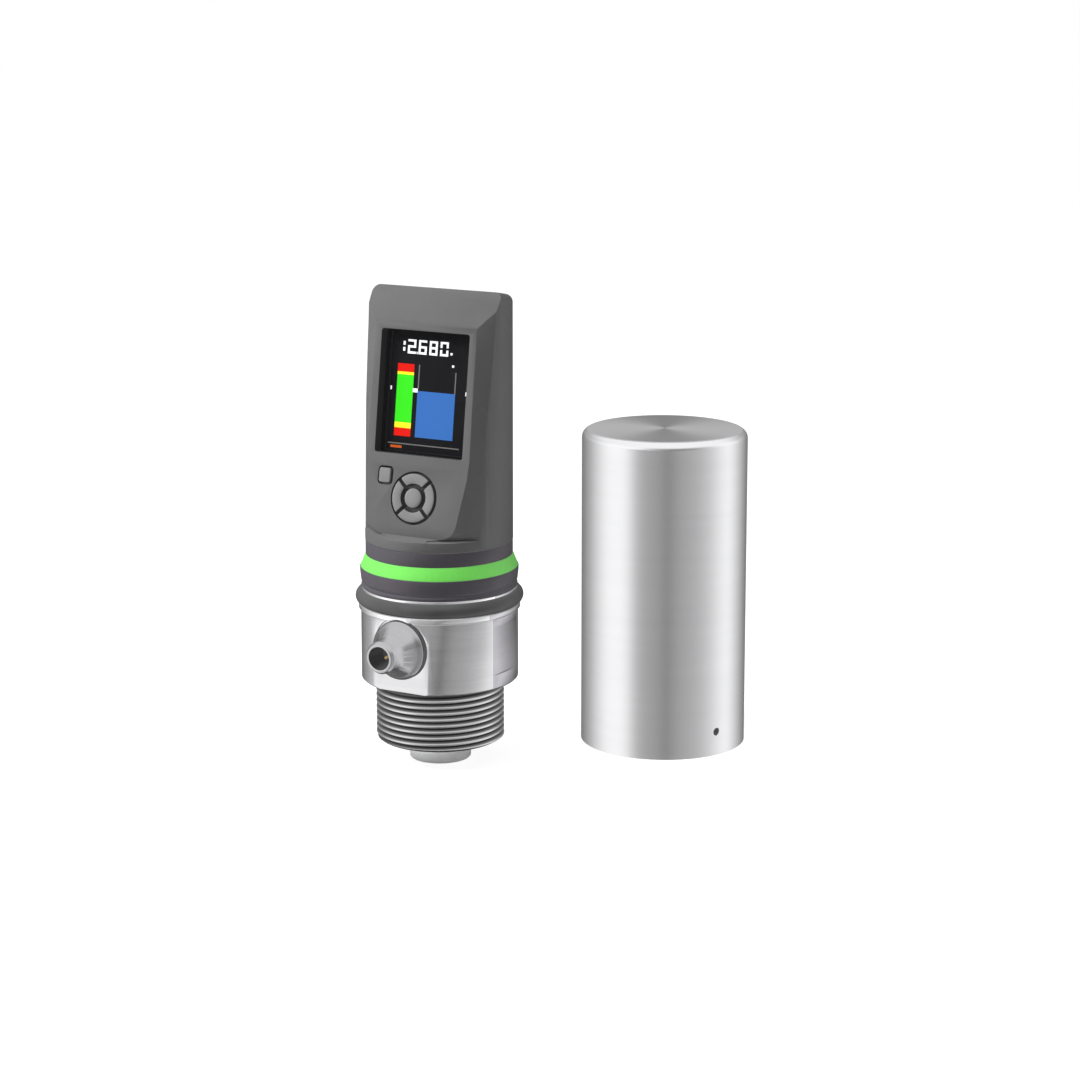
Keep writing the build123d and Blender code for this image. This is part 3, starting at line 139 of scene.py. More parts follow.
def mix_colours(tree, factor, a, b):
    """(1 - factor) * a + factor * b; each colour is a socket, a grey level or three numbers."""
    node = tree.nodes.new("ShaderNodeMix")
    node.data_type = "RGBA"
    link(tree, factor, node.inputs["Factor"])
    for name, value in (("A", a), ("B", b)):
        if isinstance(value, (int, float)):
            node.inputs[name].default_value = (value, value, value, 1)
        elif isinstance(value, tuple):
            node.inputs[name].default_value = (*value, 1)
        else:
            link(tree, value, node.inputs[name])
    return node.outputs["Result"]


print("node helpers: link, math_node, all_of, ramp_node, mix_colours")

# %% [markdown]
# Steel shows its surroundings more than itself: the photograph's cover has a
# white band on its left, a grey middle with one dark line, and a long
# brightening to the right. Softboxes could make these bands, but a world that
# depends on direction gives them with no hot spots. A ramp over the angle round
# the vertical axis holds them, and two ramps over the height of a ray change to
# a second row of bands for the leaning faces, and to an even zenith.

# %% World: the bands that mirror-like rays meet
BAND_PEAK = 1.5
ZENITH_LEVEL = 0.9
TO_UPPER_BANDS = ((0.03, 0.0), (0.20, 1.0))
TO_ZENITH = ((0.36, 0.0), (0.70, 1.0))

# Direction from the camera's side in degrees, negative to the left, and the level there.
BANDS = (
    (-180, 0.16), (-158, 0.13), (-142, 0.26), (-126, 0.40), (-108, 0.68), (-90, 0.95), (-62, 1.0),
    (-54, 0.86), (-45, 0.46), (-34, 0.35), (-12, 0.31), (-5, 0.26), (0, 0.12), (5, 0.26), (14, 0.33),
    (41, 0.42), (60, 0.56), (80, 0.84), (97, 1.0), (112, 0.66), (132, 0.32), (150, 0.10), (180, 0.14))

# The same higher up, where the leaning faces of the head look.
UPPER_BANDS = (
    (-180, 0.25), (-135, 0.42), (-95, 1.0), (-40, 1.0), (-15, 0.30), (5, 0.18), (40, 0.30),
    (80, 0.95), (105, 1.0), (125, 0.50), (150, 0.28), (180, 0.25))

world = bpy.data.worlds.new("studio")
bpy.context.scene.world = world
# Rays aimed at the world would stop at the sensor and leave a smudge on the cover.
world.cycles.sampling_method = "NONE"
world.use_nodes = True
sky = world.node_tree
sky.nodes.clear()


def band_ramp(tree, share, bands):
    """Ramp over a full turn, where share is (angle + 180) / 360."""
    return ramp_node(tree, share, [((a + 180) / 360, level) for a, level in bands], smooth=False)


def mirror_view(tree):
    """Light that comes from each direction (x, y, z), at the angle atan2(x, -y) from the camera."""
    turn = tree.nodes.new("ShaderNodeVectorRotate")
    turn.rotation_type = "Z_AXIS"
    turn.inputs["Angle"].default_value = -CAMERA_AZIMUTH
    link(tree, tree.nodes.new("ShaderNodeTexCoord").outputs["Generated"], turn.inputs["Vector"])
    ray = tree.nodes.new("ShaderNodeSeparateXYZ")
    link(tree, turn.outputs[0], ray.inputs[0])
    backward = math_node(tree, "MULTIPLY", ray.outputs["Y"], -1.0)
    angle = math_node(tree, "ARCTAN2", ray.outputs["X"], backward)
    share = math_node(tree, "ADD", math_node(tree, "DIVIDE", angle, 2 * pi), 0.5)
    overhead = ramp_node(tree, ray.outputs["Z"], TO_UPPER_BANDS)
    zenith = ramp_node(tree, ray.outputs["Z"], TO_ZENITH)
    around = mix_colours(
        tree, overhead, band_ramp(tree, share, BANDS), band_ramp(tree, share, UPPER_BANDS))
    peak = tree.nodes.new("ShaderNodeVectorMath")
    peak.operation = "SCALE"
    peak.inputs["Scale"].default_value = BAND_PEAK
    link(tree, mix_colours(tree, zenith, around, ZENITH_LEVEL), peak.inputs[0])
    return peak.outputs["Vector"]


steel_sees = mirror_view(sky)
print("world bands:", len(BANDS), "low and", len(UPPER_BANDS), "high")

# %% [markdown]
# A world can answer each kind of ray in its own way. Mirror-like rays get the
# bands. Rays that leave matt surfaces get a low even level, so that the key
# lamp can model the plastic. Rays that come straight from the camera get white,
# also when they passed clear glass on the way, which the diffuse depth tells:
# it is 0 as long as a ray has met no matt surface.

# %% World: who sees what
WORLD_LEVEL = 0.38
BELOW_ONE_BOUNCE = 0.5

path = sky.nodes.new("ShaderNodeLightPath")
scattered = mix_colours(sky, path.outputs["Is Glossy Ray"], WORLD_LEVEL, steel_sees)
unscattered = math_node(sky, "LESS_THAN", path.outputs["Diffuse Depth"], BELOW_ONE_BOUNCE)
through_glass = all_of(sky, path.outputs["Is Transmission Ray"], unscattered)
direct = math_node(sky, "MAXIMUM", path.outputs["Is Camera Ray"], through_glass)
background = sky.nodes.new("ShaderNodeBackground")
link(sky, mix_colours(sky, direct, scattered, 1.0), background.inputs["Color"])
world_out = sky.nodes.new("ShaderNodeOutputWorld")
link(sky, background.outputs[0], world_out.inputs["Surface"])
print("world nodes:", len(sky.nodes))

# %% [markdown]
# Two square lamps model the plastic. The key lamp stands high on the left and
# makes the hood, the face and the keypad lighter than the sides. A weak lamp
# behind on the right keeps the far sides readable. Steel doesn't show them.

# %% Lamps
# Height that the lamps are aimed at, in metres.
LAMP_AIM_Z = 0.06

# Azimuth and elevation in degrees, distance and width in metres, power in watts.
LAMPS = {
    "key_light": (-50, 46, 0.9, 0.5, 19.5),
    "side_light": (128, 25, 1.2, 0.5, 4.0),
}


def softbox(name, azimuth, elevation, distance, size, power):
    """Square lamp at distance * (cos e sin a, -cos e cos a, sin e) that faces the sensor."""
    lamp = bpy.data.lights.new(name, "AREA")
    lamp.size = size
    lamp.energy = power
    lamp_object = bpy.data.objects.new(name, lamp)
    a, e = radians(azimuth), radians(elevation)
    lamp_object.location = (
        distance * cos(e) * sin(a), -distance * cos(e) * cos(a), distance * sin(e) + LAMP_AIM_Z)
    lamp_object.rotation_euler = (pi / 2 - e, 0, a)
    lamp_object.visible_glossy = False
    bpy.context.scene.collection.objects.link(lamp_object)


for lamp_name, setting in LAMPS.items():
    softbox(lamp_name, *setting)
print("lamps:", list(LAMPS))

# %% [markdown]
# The photograph's ground is plain white. The floor is a wide sheet that shows
# itself white to the camera, and keeps part of the shadow that falls on it, so
# the two objects stand on something when seen from any side. Mirror-like rays
# pass it by, as in a studio where the ground falls away into the same bands.

# %% Floor
FLOOR_Z = -31.0 * MM
FLOOR_HALF = 4.0
FLOOR_GREY = 0.86
SHADOW_SHARE = 0.3
FLOOR_GLOW = 1.30


def white_floor():
    """Material that is mostly plain white to the camera and partly takes shadow."""
    material = bpy.data.materials.new("floor_white")
    material.use_nodes = True
    tree = material.node_tree
    tree.nodes.clear()
    matt = tree.nodes.new("ShaderNodeBsdfDiffuse")
    matt.inputs["Color"].default_value = (FLOOR_GREY, FLOOR_GREY, FLOOR_GREY, 1)
    glow = tree.nodes.new("ShaderNodeEmission")
    glow.inputs["Color"].default_value = (1, 1, 1, 1)
    glow.inputs["Strength"].default_value = FLOOR_GLOW
    rays = tree.nodes.new("ShaderNodeLightPath")
    mix = tree.nodes.new("ShaderNodeMixShader")
    link(tree, math_node(tree, "MULTIPLY", rays.outputs["Is Camera Ray"], 1 - SHADOW_SHARE),
         mix.inputs["Fac"])
    link(tree, matt.outputs[0], mix.inputs[1])
    link(tree, glow.outputs[0], mix.inputs[2])
    out = tree.nodes.new("ShaderNodeOutputMaterial")
    link(tree, mix.outputs[0], out.inputs["Surface"])
    return material


floor_mesh = bpy.data.meshes.new("floor")
floor_corners = [
    (side_x * FLOOR_HALF, side_y * FLOOR_HALF, FLOOR_Z)
    for side_x, side_y in ((-1, -1), (1, -1), (1, 1), (-1, 1))]
floor_mesh.from_pydata(floor_corners, [], [(0, 1, 2, 3)])
floor_mesh.materials.append(white_floor())
floor = bpy.data.objects.new("floor", floor_mesh)
bpy.context.scene.collection.objects.link(floor)
floor.visible_glossy = False
print("floor at", FLOOR_Z)

# %% [markdown]
# Every finish is a material made of nodes that read the object's own
# coordinates, so it stays on the piece from every side. A finish has a colour,
# a small drift of that colour, a grain in its roughness and a fine relief. The
# grain is noise: stretched coordinates turn its round specks into lines. On
# turned steel they run round the axis, so they are 14 times finer along it.

# %% Finish of one kind of surface
COAT_ROUGHNESS = 0.08
RELIEF_DEPTH = 0.1 * MM
BROAD_SCALE = 0.02
FINE_DETAIL = 4.0
TONE_SPAN = (0.3, 0.7)
GRAIN_SPAN = (0.25, 0.75)


def noise_node(tree, vector, scale, detail=3.0, dimensions="3D"):
    """Noise texture over a vector, or over one number when it is 1D."""
    node = tree.nodes.new("ShaderNodeTexNoise")
    node.noise_dimensions = dimensions
    node.inputs["Scale"].default_value = scale
    node.inputs["Detail"].default_value = detail
    link(tree, vector, node.inputs["W" if dimensions == "1D" else "Vector"])
    return node.outputs["Fac"]


def object_coordinates(tree, scale=(1, 1, 1), centre=(0, 0, 0)):
    """(point - centre) * scale on each axis, in the object's own coordinates."""
    mapping = tree.nodes.new("ShaderNodeMapping")
    mapping.vector_type = "POINT"
    mapping.inputs["Scale"].default_value = scale
    mapping.inputs["Location"].default_value = [-c * s for c, s in zip(centre, scale)]
    link(tree, tree.nodes.new("ShaderNodeTexCoord").outputs["Object"], mapping.inputs["Vector"])
    return mapping.outputs["Vector"]


def relief_from(tree, shader, height, strength):
    """Lets a height change the direction of the surface, with no change to its shape."""
    bump = tree.nodes.new("ShaderNodeBump")
    bump.inputs["Strength"].default_value = strength
    bump.inputs["Distance"].default_value = RELIEF_DEPTH
    link(tree, height, bump.inputs["Height"])
    link(tree, bump.outputs["Normal"], shader.inputs["Normal"])


def finish(name, colour, roughness, metallic=0.0, grain_scale=2500.0, grain=(1, 1, 1), relief=0.05,
           drift=0.06, rough_drift=0.08, centre=(0, 0, 0), glow=None, glow_strength=0.0, coat=0.0,
           specular=0.5):
    """Principled material with noise in its colour, roughness and relief.

    The colour runs from colour * (1 - drift) to colour * (1 + drift), and the
    roughness over a width of rough_drift. grain stretches the noise on each axis
    and relief is its strength as a height. A glow is light of its own colour.
    """
    material = bpy.data.materials.new(name)
    material.use_nodes = True
    tree = material.node_tree
    shader = tree.nodes["Principled BSDF"]
    shader.inputs["Metallic"].default_value = metallic
    shader.inputs["Specular IOR Level"].default_value = specular
    shader.inputs["Coat Weight"].default_value = coat
    shader.inputs["Coat Roughness"].default_value = COAT_ROUGHNESS
    broad = noise_node(tree, object_coordinates(tree, grain, centre), grain_scale * BROAD_SCALE)
    fine = noise_node(tree, object_coordinates(tree, grain, centre), grain_scale, FINE_DETAIL)
    tones = ([c * (1 - drift) for c in colour], [min(1.0, c * (1 + drift)) for c in colour])
    link(tree, ramp_node(tree, broad, list(zip(TONE_SPAN, tones))), shader.inputs["Base Color"])
    levels = (roughness - rough_drift / 2, roughness + rough_drift / 2)
    link(tree, ramp_node(tree, fine, list(zip(GRAIN_SPAN, levels))), shader.inputs["Roughness"])
    relief_from(tree, shader, fine, relief)
    if glow:
        shader.inputs["Emission Color"].default_value = (*glow, 1)
        shader.inputs["Emission Strength"].default_value = glow_strength
    return material


print("a finish mixes its tones over", TONE_SPAN, "of its noise, and its roughness over", GRAIN_SPAN)

# %% [markdown]
# Some surfaces change inside one piece: painted shade ends at an edge, and a
# bore gets painted shade. These are the places where that happens on the head.
# They are those of the imported model, so the painted shade ends on the edge
# that it belongs to. The face and the keypad lean back, so each is a height, a
# depth there and a slope.

# %% Places on the head
_, window_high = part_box("display_window")
RECESS_HALF_W = window_high[0] + 0.25 * MM
RECESS_LOW_Z = 85.88 * MM
RECESS_TOP_Z = 130.92 * MM
RECESS_SILL = 0.5 * MM
FACE_Y = -14.56 * MM
FACE_SKIN = 0.12 * MM
FACE_SLOPE = tan(radians(7.7))

PAD_TOP_Z = 85.7 * MM
PAD_TOP_DEPTH = 14.59 * MM
PAD_SLOPE = tan(radians(12.0))
PAD_HALF_W = 16.6 * MM
PAD_LOW_Z = 60.5 * MM
PAD_BORDER = 3.0 * MM
POCKET_SKIN = 0.02 * MM
KEY_RIM = 0.38 * MM
print("screen recess mm:", [round(v / MM, 2) for v in (2 * RECESS_HALF_W, RECESS_TOP_Z - RECESS_LOW_Z)])

# %% [markdown]
# A mask tells a material where it is. It is 1 where a test on the point's place
# holds and 0 elsewhere. Several tests are multiplied, so all of them have to
# hold, and the result mixes a colour or a roughness.

# %% Masks
# The head's painted shade: its black, and a roughness like flock.
PAINTED_SHADE_BLACK = 0.008
FLOCK_ROUGHNESS = 0.95


def place_on(tree, centre=(0, 0, 0)):
    """X, Y and Z of a point, seen from a centre, as three output sockets."""
    parts = tree.nodes.new("ShaderNodeSeparateXYZ")
    link(tree, object_coordinates(tree, centre=centre), parts.inputs[0])
    return parts.outputs["X"], parts.outputs["Y"], parts.outputs["Z"]


def distance_node(tree, a, b):
    """sqrt(a * a + b * b), the distance from the axis that a and b are measured from."""
    square = math_node(tree, "ADD", math_node(tree, "MULTIPLY", a, a), math_node(tree, "MULTIPLY", b, b))
    return math_node(tree, "SQRT", square)


def behind_plane(tree, y, rise, slope, start):
    """1 where y lies behind start + rise * slope, the y of a leaning face."""
    face_y = math_node(tree, "ADD", math_node(tree, "MULTIPLY", rise, slope), start)
    return math_node(tree, "GREATER_THAN", y, face_y)


def within(tree, value, half):
    """1 where a value lies between -half and half."""
    return math_node(tree, "LESS_THAN", math_node(tree, "ABSOLUTE", value), half)


def in_recess(tree, x, y, z):
    """1 in the screen's recess, a box behind the leaning face."""
    rise = math_node(tree, "SUBTRACT", z, RECESS_LOW_Z)
    return all_of(
        tree, within(tree, x, RECESS_HALF_W),
        math_node(tree, "GREATER_THAN", z, RECESS_LOW_Z - RECESS_SILL),
        math_node(tree, "LESS_THAN", z, RECESS_TOP_Z),
        behind_plane(tree, y, rise, FACE_SLOPE, FACE_Y + FACE_SKIN),
        math_node(tree, "LESS_THAN", y, 0.0))


def below_keypad(tree, x, y, z, depth):
    """1 where a point of the keypad's area lies deeper than depth behind its leaning face."""
    drop = math_node(tree, "SUBTRACT", PAD_TOP_Z, z)
    return all_of(
        tree, behind_plane(tree, y, drop, -PAD_SLOPE, depth - PAD_TOP_DEPTH),
        within(tree, x, PAD_HALF_W),
        math_node(tree, "LESS_THAN", z, PAD_TOP_Z - PAD_BORDER),
        math_node(tree, "GREATER_THAN", z, PAD_LOW_Z),
        math_node(tree, "LESS_THAN", y, 0.0))


def painted_shade_where(tree, share):
    """Paints shade on a surface where share is 1: black, and as rough as flock."""
    shader = tree.nodes["Principled BSDF"]
    for name, level in (("Base Color", PAINTED_SHADE_BLACK), ("Roughness", FLOCK_ROUGHNESS)):
        plain = shader.inputs[name].links[0].from_socket
        link(tree, mix_colours(tree, share, plain, level), shader.inputs[name])


def darker_where(tree, share, level):
    """Multiplies the colour by level where share is 1, and leaves it where share is 0."""
    shader = tree.nodes["Principled BSDF"]
    product = tree.nodes.new("ShaderNodeMix")
    product.data_type = "RGBA"
    product.blend_type = "MULTIPLY"
    product.inputs["Factor"].default_value = 1.0
    link(tree, shader.inputs["Base Color"].links[0].from_socket, product.inputs["A"])
    link(tree, mix_colours(tree, share, 1.0, level), product.inputs["B"])
    link(tree, product.outputs["Result"], shader.inputs["Base Color"])


print("masks: in_recess, below_keypad; uses: painted_shade_where, darker_where")

# %% [markdown]
# The head is moulded in dark plastic. Where the screen and the keys sit in it,
# it gets painted shade: black in the screen's recess and the keypad's pocket,
# and on the rubber key caps up to about a third of a millimetre over the
# keypad's face, so only their tops stay grey.

# %% Plastic of the head and rubber of the keys


def housing_plastic():
    """Dark grey moulded plastic, with black painted shade in the screen's recess and the keypad's pocket.
    """
    material = finish("housing_plastic", (0.062, 0.062, 0.063), 0.38, grain_scale=3800, relief=0.14,
                      drift=0.04, specular=0.36)
    tree = material.node_tree
    spot = place_on(tree)
    pocket = below_keypad(tree, *spot, POCKET_SKIN)
    painted_shade_where(tree, math_node(tree, "MAXIMUM", in_recess(tree, *spot), pocket))
    return material


def key_rubber():
    """Grey key caps, with black painted shade low on their sides."""
    material = finish("key_rubber", (0.115, 0.115, 0.117), 0.42, grain_scale=3800, relief=0.12, drift=0.05)
    tree = material.node_tree
    painted_shade_where(tree, below_keypad(tree, *place_on(tree), -KEY_RIM))
    return material


head_finishes = {"housing_grey": housing_plastic(), "key_grey": key_rubber()}
print("head finishes:", list(head_finishes))

# %% [markdown]
# All turned steel is one finish, changed by masks: milled side flats are
# tinted darker and a little lilac, the lip under the collar gets a painted
# highlight, and a bore and a thread's root get painted shade, the thread more
# the nearer to its root.

# %% Steel of the body, the thread and the connector
TURNED_GRAIN = (1, 1, 14)
THREAD_GRAIN = (1, 1, 6)
CONNECTOR_GRAIN = (1, 14, 1)

SIDE_FLAT_X = 27.9 * MM
SIDE_FLAT_TINT = (0.66, 0.645, 0.67)
LIP_Z = 27.0 * MM
LIP_HIGHLIGHT_LEVEL = 1.35
CONNECTOR_AXIS = (0, 0, 16.3 * MM)
CONNECTOR_BORE_R = 4.3 * MM
BORE_SHADE_LEVEL = 0.04
THREAD_R = 23.9
THREAD_DEPTH = 1.48
ROOT_SHADE_LEVEL = 0.03
ROOT_SHADE = ((0.0, 0.0), (0.08, 0.30), (0.45, 0.88), (1.0, 1.0))


def turned_steel(name, colour=(0.58, 0.58, 0.59), roughness=0.22, grain_scale=900, grain=TURNED_GRAIN,
                 drift=0.05):
    """Steel with fine lines from the cutting tool."""
    return finish(name, colour, roughness, metallic=1.0, grain_scale=grain_scale, grain=grain,
                  relief=0.08, drift=drift, rough_drift=0.10)


def body_steel():
    """Turned steel, tinted on the milled side flats, with a painted highlight on the upper lip."""
    material = turned_steel("turned_body")
    tree = material.node_tree
    x, _, z = place_on(tree)
    on_flat = math_node(tree, "GREATER_THAN", math_node(tree, "ABSOLUTE", x), SIDE_FLAT_X)
    darker_where(tree, on_flat, SIDE_FLAT_TINT)
    # Painted highlight: the lip is made brighter above LIP_Z.
    darker_where(tree, math_node(tree, "GREATER_THAN", z, LIP_Z), LIP_HIGHLIGHT_LEVEL)
    return material


def thread_steel():
    """Cut steel with painted shade that grows with (crest radius - radius) / depth, which is 0 at the
    crest and 1 at the root.
    """
    material = turned_steel("cut_thread", (0.56, 0.56, 0.57), 0.25, 1500, THREAD_GRAIN, 0.06)
    tree = material.node_tree
    x, y, _ = place_on(tree)
    depth = math_node(tree, "SUBTRACT", THREAD_R * MM, distance_node(tree, x, y))
    root = math_node(tree, "DIVIDE", depth, THREAD_DEPTH * MM)
    # Painted shade that deepens towards the thread's root.
    darker_where(tree, ramp_node(tree, root, ROOT_SHADE), ROOT_SHADE_LEVEL)
    return material


def connector_steel():
    """Turned steel of the plug connector, with painted shade inside its bore."""
    material = turned_steel("connector_steel", (0.38, 0.38, 0.39), 0.24, grain=CONNECTOR_GRAIN)
    tree = material.node_tree
    x, _, z = place_on(tree, CONNECTOR_AXIS)
    in_bore = math_node(tree, "LESS_THAN", distance_node(tree, x, z), CONNECTOR_BORE_R)
    # Painted shade inside the bore.
    darker_where(tree, in_bore, BORE_SHADE_LEVEL)
    return material


steel_finishes = {
    "steel": turned_steel("turned_steel"), "body_steel": body_steel(),
    "thread_steel": thread_steel(), "connector_steel": connector_steel(),
}
print("steel finishes:", list(steel_finishes))

# %% [markdown]
# The cover is brushed round its axis. Grooves too fine to see spread a
# highlight across themselves, which a shader does with anisotropy along a
# tangent. The tangent at (x, y) is (-y, x, 0), the direction round the axis, so
# the wall shows upright bands and the top shows a fan.

# %% Brushed steel of the cover
cover_low, cover_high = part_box("head_cover")
COVER_CENTRE = ((cover_low[0] + cover_high[0]) / 2, (cover_low[1] + cover_high[1]) / 2, cover_low[2])
COVER_R = (cover_high[0] - cover_low[0]) / 2
COVER_HEIGHT = cover_high[2] - cover_low[2]
COVER_ANISOTROPY = 0.7
COVER_TOP_SKIN = 0.3 * MM
COVER_TOP_ROUGHNESS = 0.42
COVER_TOP_SHADE_LEVEL = 0.68
RING_SCALE = 4200
RING_DETAIL = 5.0
RING_RELIEF = 0.04
HOLE_DEPTH = 0.25 * MM
TOP_ZONE = 8.0 * MM
HOLE_SHADE_LEVEL = 0.05


def brushed_cover():
    """Steel brushed in rings, rougher on the top, with painted shade on the top, in the set screw's hole
    and inside the cup.
    """
    material = finish("brushed_cover", (0.66, 0.66, 0.67), 0.24, metallic=1.0, grain_scale=900,
                      grain=TURNED_GRAIN, relief=0.0, drift=0.012, rough_drift=0.03, centre=COVER_CENTRE)
    tree = material.node_tree
    shader = tree.nodes["Principled BSDF"]
    x, y, z = place_on(tree, COVER_CENTRE)
    radius = distance_node(tree, x, y)
    rings = noise_node(tree, math_node(tree, "ADD", radius, z), RING_SCALE, RING_DETAIL, "1D")
    relief_from(tree, shader, rings, RING_RELIEF)
    round_about = tree.nodes.new("ShaderNodeCombineXYZ")
    link(tree, math_node(tree, "MULTIPLY", y, -1.0), round_about.inputs["X"])
    link(tree, x, round_about.inputs["Y"])
    link(tree, round_about.outputs[0], shader.inputs["Tangent"])
    shader.inputs["Anisotropic"].default_value = COVER_ANISOTROPY
    on_top = math_node(tree, "GREATER_THAN", z, COVER_HEIGHT - COVER_TOP_SKIN)
    plain = shader.inputs["Roughness"].links[0].from_socket
    link(tree, mix_colours(tree, on_top, plain, COVER_TOP_ROUGHNESS), shader.inputs["Roughness"])
    # Painted shade: the top is darker than the wall.
    darker_where(tree, on_top, COVER_TOP_SHADE_LEVEL)
    # Painted shade on every face that lies inside the outer wall below the top zone: the set screw's hole
    # and the inside of the cup.
    in_hole = all_of(
        tree, math_node(tree, "LESS_THAN", radius, COVER_R - HOLE_DEPTH),
        math_node(tree, "LESS_THAN", z, COVER_HEIGHT - TOP_ZONE))
    darker_where(tree, in_hole, HOLE_SHADE_LEVEL)
    return material


cover_finish = brushed_cover()
print("cover radius mm:", round(COVER_R / MM, 2))

# %% [markdown]
# A lit display is a light, not a paint: its fields shine by themselves in their
# colour, and reflect almost nothing. Their base colours stay dark, or the lamps
# would bleach them. The cover sheet in front neither bends light nor throws it
# back, as coated glass does.

# %% Display and its glass
FIELD_ROUGHNESS = 0.4
FIELD_SPECULAR = 0.05

# Colour of the surface, colour of its light and the light's strength.
LIT_FIELDS = {
    "field_red": ((0.08, 0.005, 0.003), (0.80, 0.008, 0.004), 0.95),
    "field_yellow": ((0.3, 0.22, 0.01), (0.95, 0.66, 0.015), 0.95),
    "field_green": ((0.01, 0.10, 0.005), (0.04, 0.80, 0.014), 0.95),
    "field_blue": ((0.01, 0.03, 0.08), (0.038, 0.145, 0.46), 0.9),
    "field_white": ((0.3, 0.3, 0.3), (0.86, 0.86, 0.86), 0.95),
    "field_grey": ((0.05, 0.05, 0.05), (0.13, 0.12, 0.11), 0.9),
    "field_orange": ((0.1, 0.02, 0.005), (0.62, 0.11, 0.02), 0.8),
}


def window_glass():
    """Clear cover sheet of the display, with a refraction of 1, so that light passes straight."""
    material = bpy.data.materials.new("window_glass")
    material.use_nodes = True
    shader = material.node_tree.nodes["Principled BSDF"]
    shader.inputs["Base Color"].default_value = (0.95, 0.96, 0.97, 1)
    shader.inputs["Roughness"].default_value = 0.0
    shader.inputs["IOR"].default_value = 1.0
    shader.inputs["Transmission Weight"].default_value = 1.0
    return material


display_finishes = {
    name: finish(name, colour, FIELD_ROUGHNESS, specular=FIELD_SPECULAR, glow=glow, glow_strength=strength)
    for name, (colour, glow, strength) in LIT_FIELDS.items()}
display_finishes["display_black"] = finish(
    "display_face", (0.006, 0.006, 0.007), 0.4, relief=0.0, drift=0.1, specular=FIELD_SPECULAR)
display_finishes["window_glass"] = window_glass()
print("display finishes:", len(display_finishes))

# %% [markdown]
# What is left are plain finishes: the insulator, the seals, the collar, the
# light ring, which glows a little, and the pieces inside. A key of the table is
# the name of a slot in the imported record, or of a finish that scene pieces ask
# for by themselves.

# %% All finishes
FINISHES = {
    **head_finishes, **steel_finishes, **display_finishes, "cover_steel": cover_finish,
    "insulator_white": finish("insulator_white", (0.93, 0.93, 0.94), 0.45, grain_scale=2000,
                              relief=0.03, drift=0.02),
    "seal_black": finish("seal_rubber", (0.034, 0.034, 0.035), 0.42, grain_scale=3500,
                         relief=0.10, drift=0.15),
    "collar_dark": finish("collar_plastic", (0.038, 0.033, 0.042), 0.36, grain_scale=3800,
                          relief=0.12, drift=0.05, specular=0.4),
    "light_green": finish("light_ring_glow", (0.085, 0.36, 0.052), 0.35, grain_scale=900,
                          relief=0.02, drift=0.10, glow=(0.14, 0.66, 0.06), glow_strength=0.28),
    # The contacts' gold plating is darkened, as painted shade for the shade inside the connector's bore.
    "brass": finish("shaded_plated_contact", (0.30, 0.22, 0.09), 0.35, metallic=1.0, grain_scale=1500,
                    relief=0.04),
    "board_green": finish("board_green", (0.012, 0.11, 0.035), 0.35, grain_scale=700, drift=0.25,
                          coat=0.4),
    "chip_black": finish("package_black", (0.02, 0.02, 0.02), 0.5, grain_scale=3000, relief=0.08,
                         drift=0.1),
    "spring_steel": finish("small_steel", (0.36, 0.36, 0.38), 0.3, metallic=1.0, grain_scale=1500),
    "black_oxide": finish("black_oxide", (0.020, 0.020, 0.022), 0.35, grain_scale=1500),
}
print("finishes:", len(FINISHES))

# %% [markdown]
# A machined or moulded edge is never knife sharp: a thin line of light runs
# along it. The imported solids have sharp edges, so a copy of each visible one is
# merged into one skin and gets a small bevel. Hidden pieces keep their packed
# mesh and only take a finish.

# %% Tools for dressed copies
WELD = 0.002 * MM
FLAT_ANGLE = radians(0.6)
SHARP_ANGLE = radians(32)
BEVEL_SEGMENTS = 3

slot_of = {part["node"]: part["material_slot"] for part in frame["record"]["subparts"]}
OWN_FINISH = {
    "process_body": "body_steel", "connector_shell": "connector_steel", "cover_set_screw": "black_oxide",
    "neck_ring": "collar_dark", "window_gasket": "display_black",
}
body_of_node = {
    node_name: body_name
    for body_name, nodes in frame["record"]["behaviour"]["bodies"].items() for node_name in nodes}


def finish_of(node):
    """A node's own finish, or else the one of its slot."""
    return FINISHES[OWN_FINISH.get(node, slot_of[node])]


def merged_copy(node, name):
    """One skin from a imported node's loose triangles, its flat parts joined into faces."""
    mesh = bpy.data.meshes.new(name)
    shape = bmesh.new()
    shape.from_mesh(frame["nodes"][node].data)
    bmesh.ops.remove_doubles(shape, verts=shape.verts, dist=WELD)
    bmesh.ops.dissolve_limit(shape, angle_limit=FLAT_ANGLE, verts=shape.verts, edges=shape.edges)
    shape.to_mesh(mesh)
    shape.free()
    return mesh


def place_piece(name, mesh, node, replaced=()):
    """Puts a mesh in the scene with its node's finish, riding on its node's body."""
    piece = bpy.data.objects.new(name, mesh)
    bpy.context.scene.collection.objects.link(piece)
    mesh.materials.clear()
    mesh.materials.append(finish_of(node))
    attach(piece, body_of_node[node])
    if replaced:
        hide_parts(*replaced)
    return piece


def bevel_edges(piece, width):
    """Rounds every edge where faces meet at more than the sharp angle; width in millimetres."""
    bevel = piece.modifiers.new("edge", "BEVEL")
    bevel.width = width * MM
    bevel.segments = BEVEL_SEGMENTS
    bevel.limit_method = "ANGLE"
    bevel.angle_limit = SHARP_ANGLE
    bevel.harden_normals = True
    bevel.use_clamp_overlap = True


print("nodes and their bodies:", len(body_of_node))

# %% [markdown]
# Each visible piece gets the edge that its material has: a moulded housing is
# rounder than a small key or a screw. The widths are in millimetres.

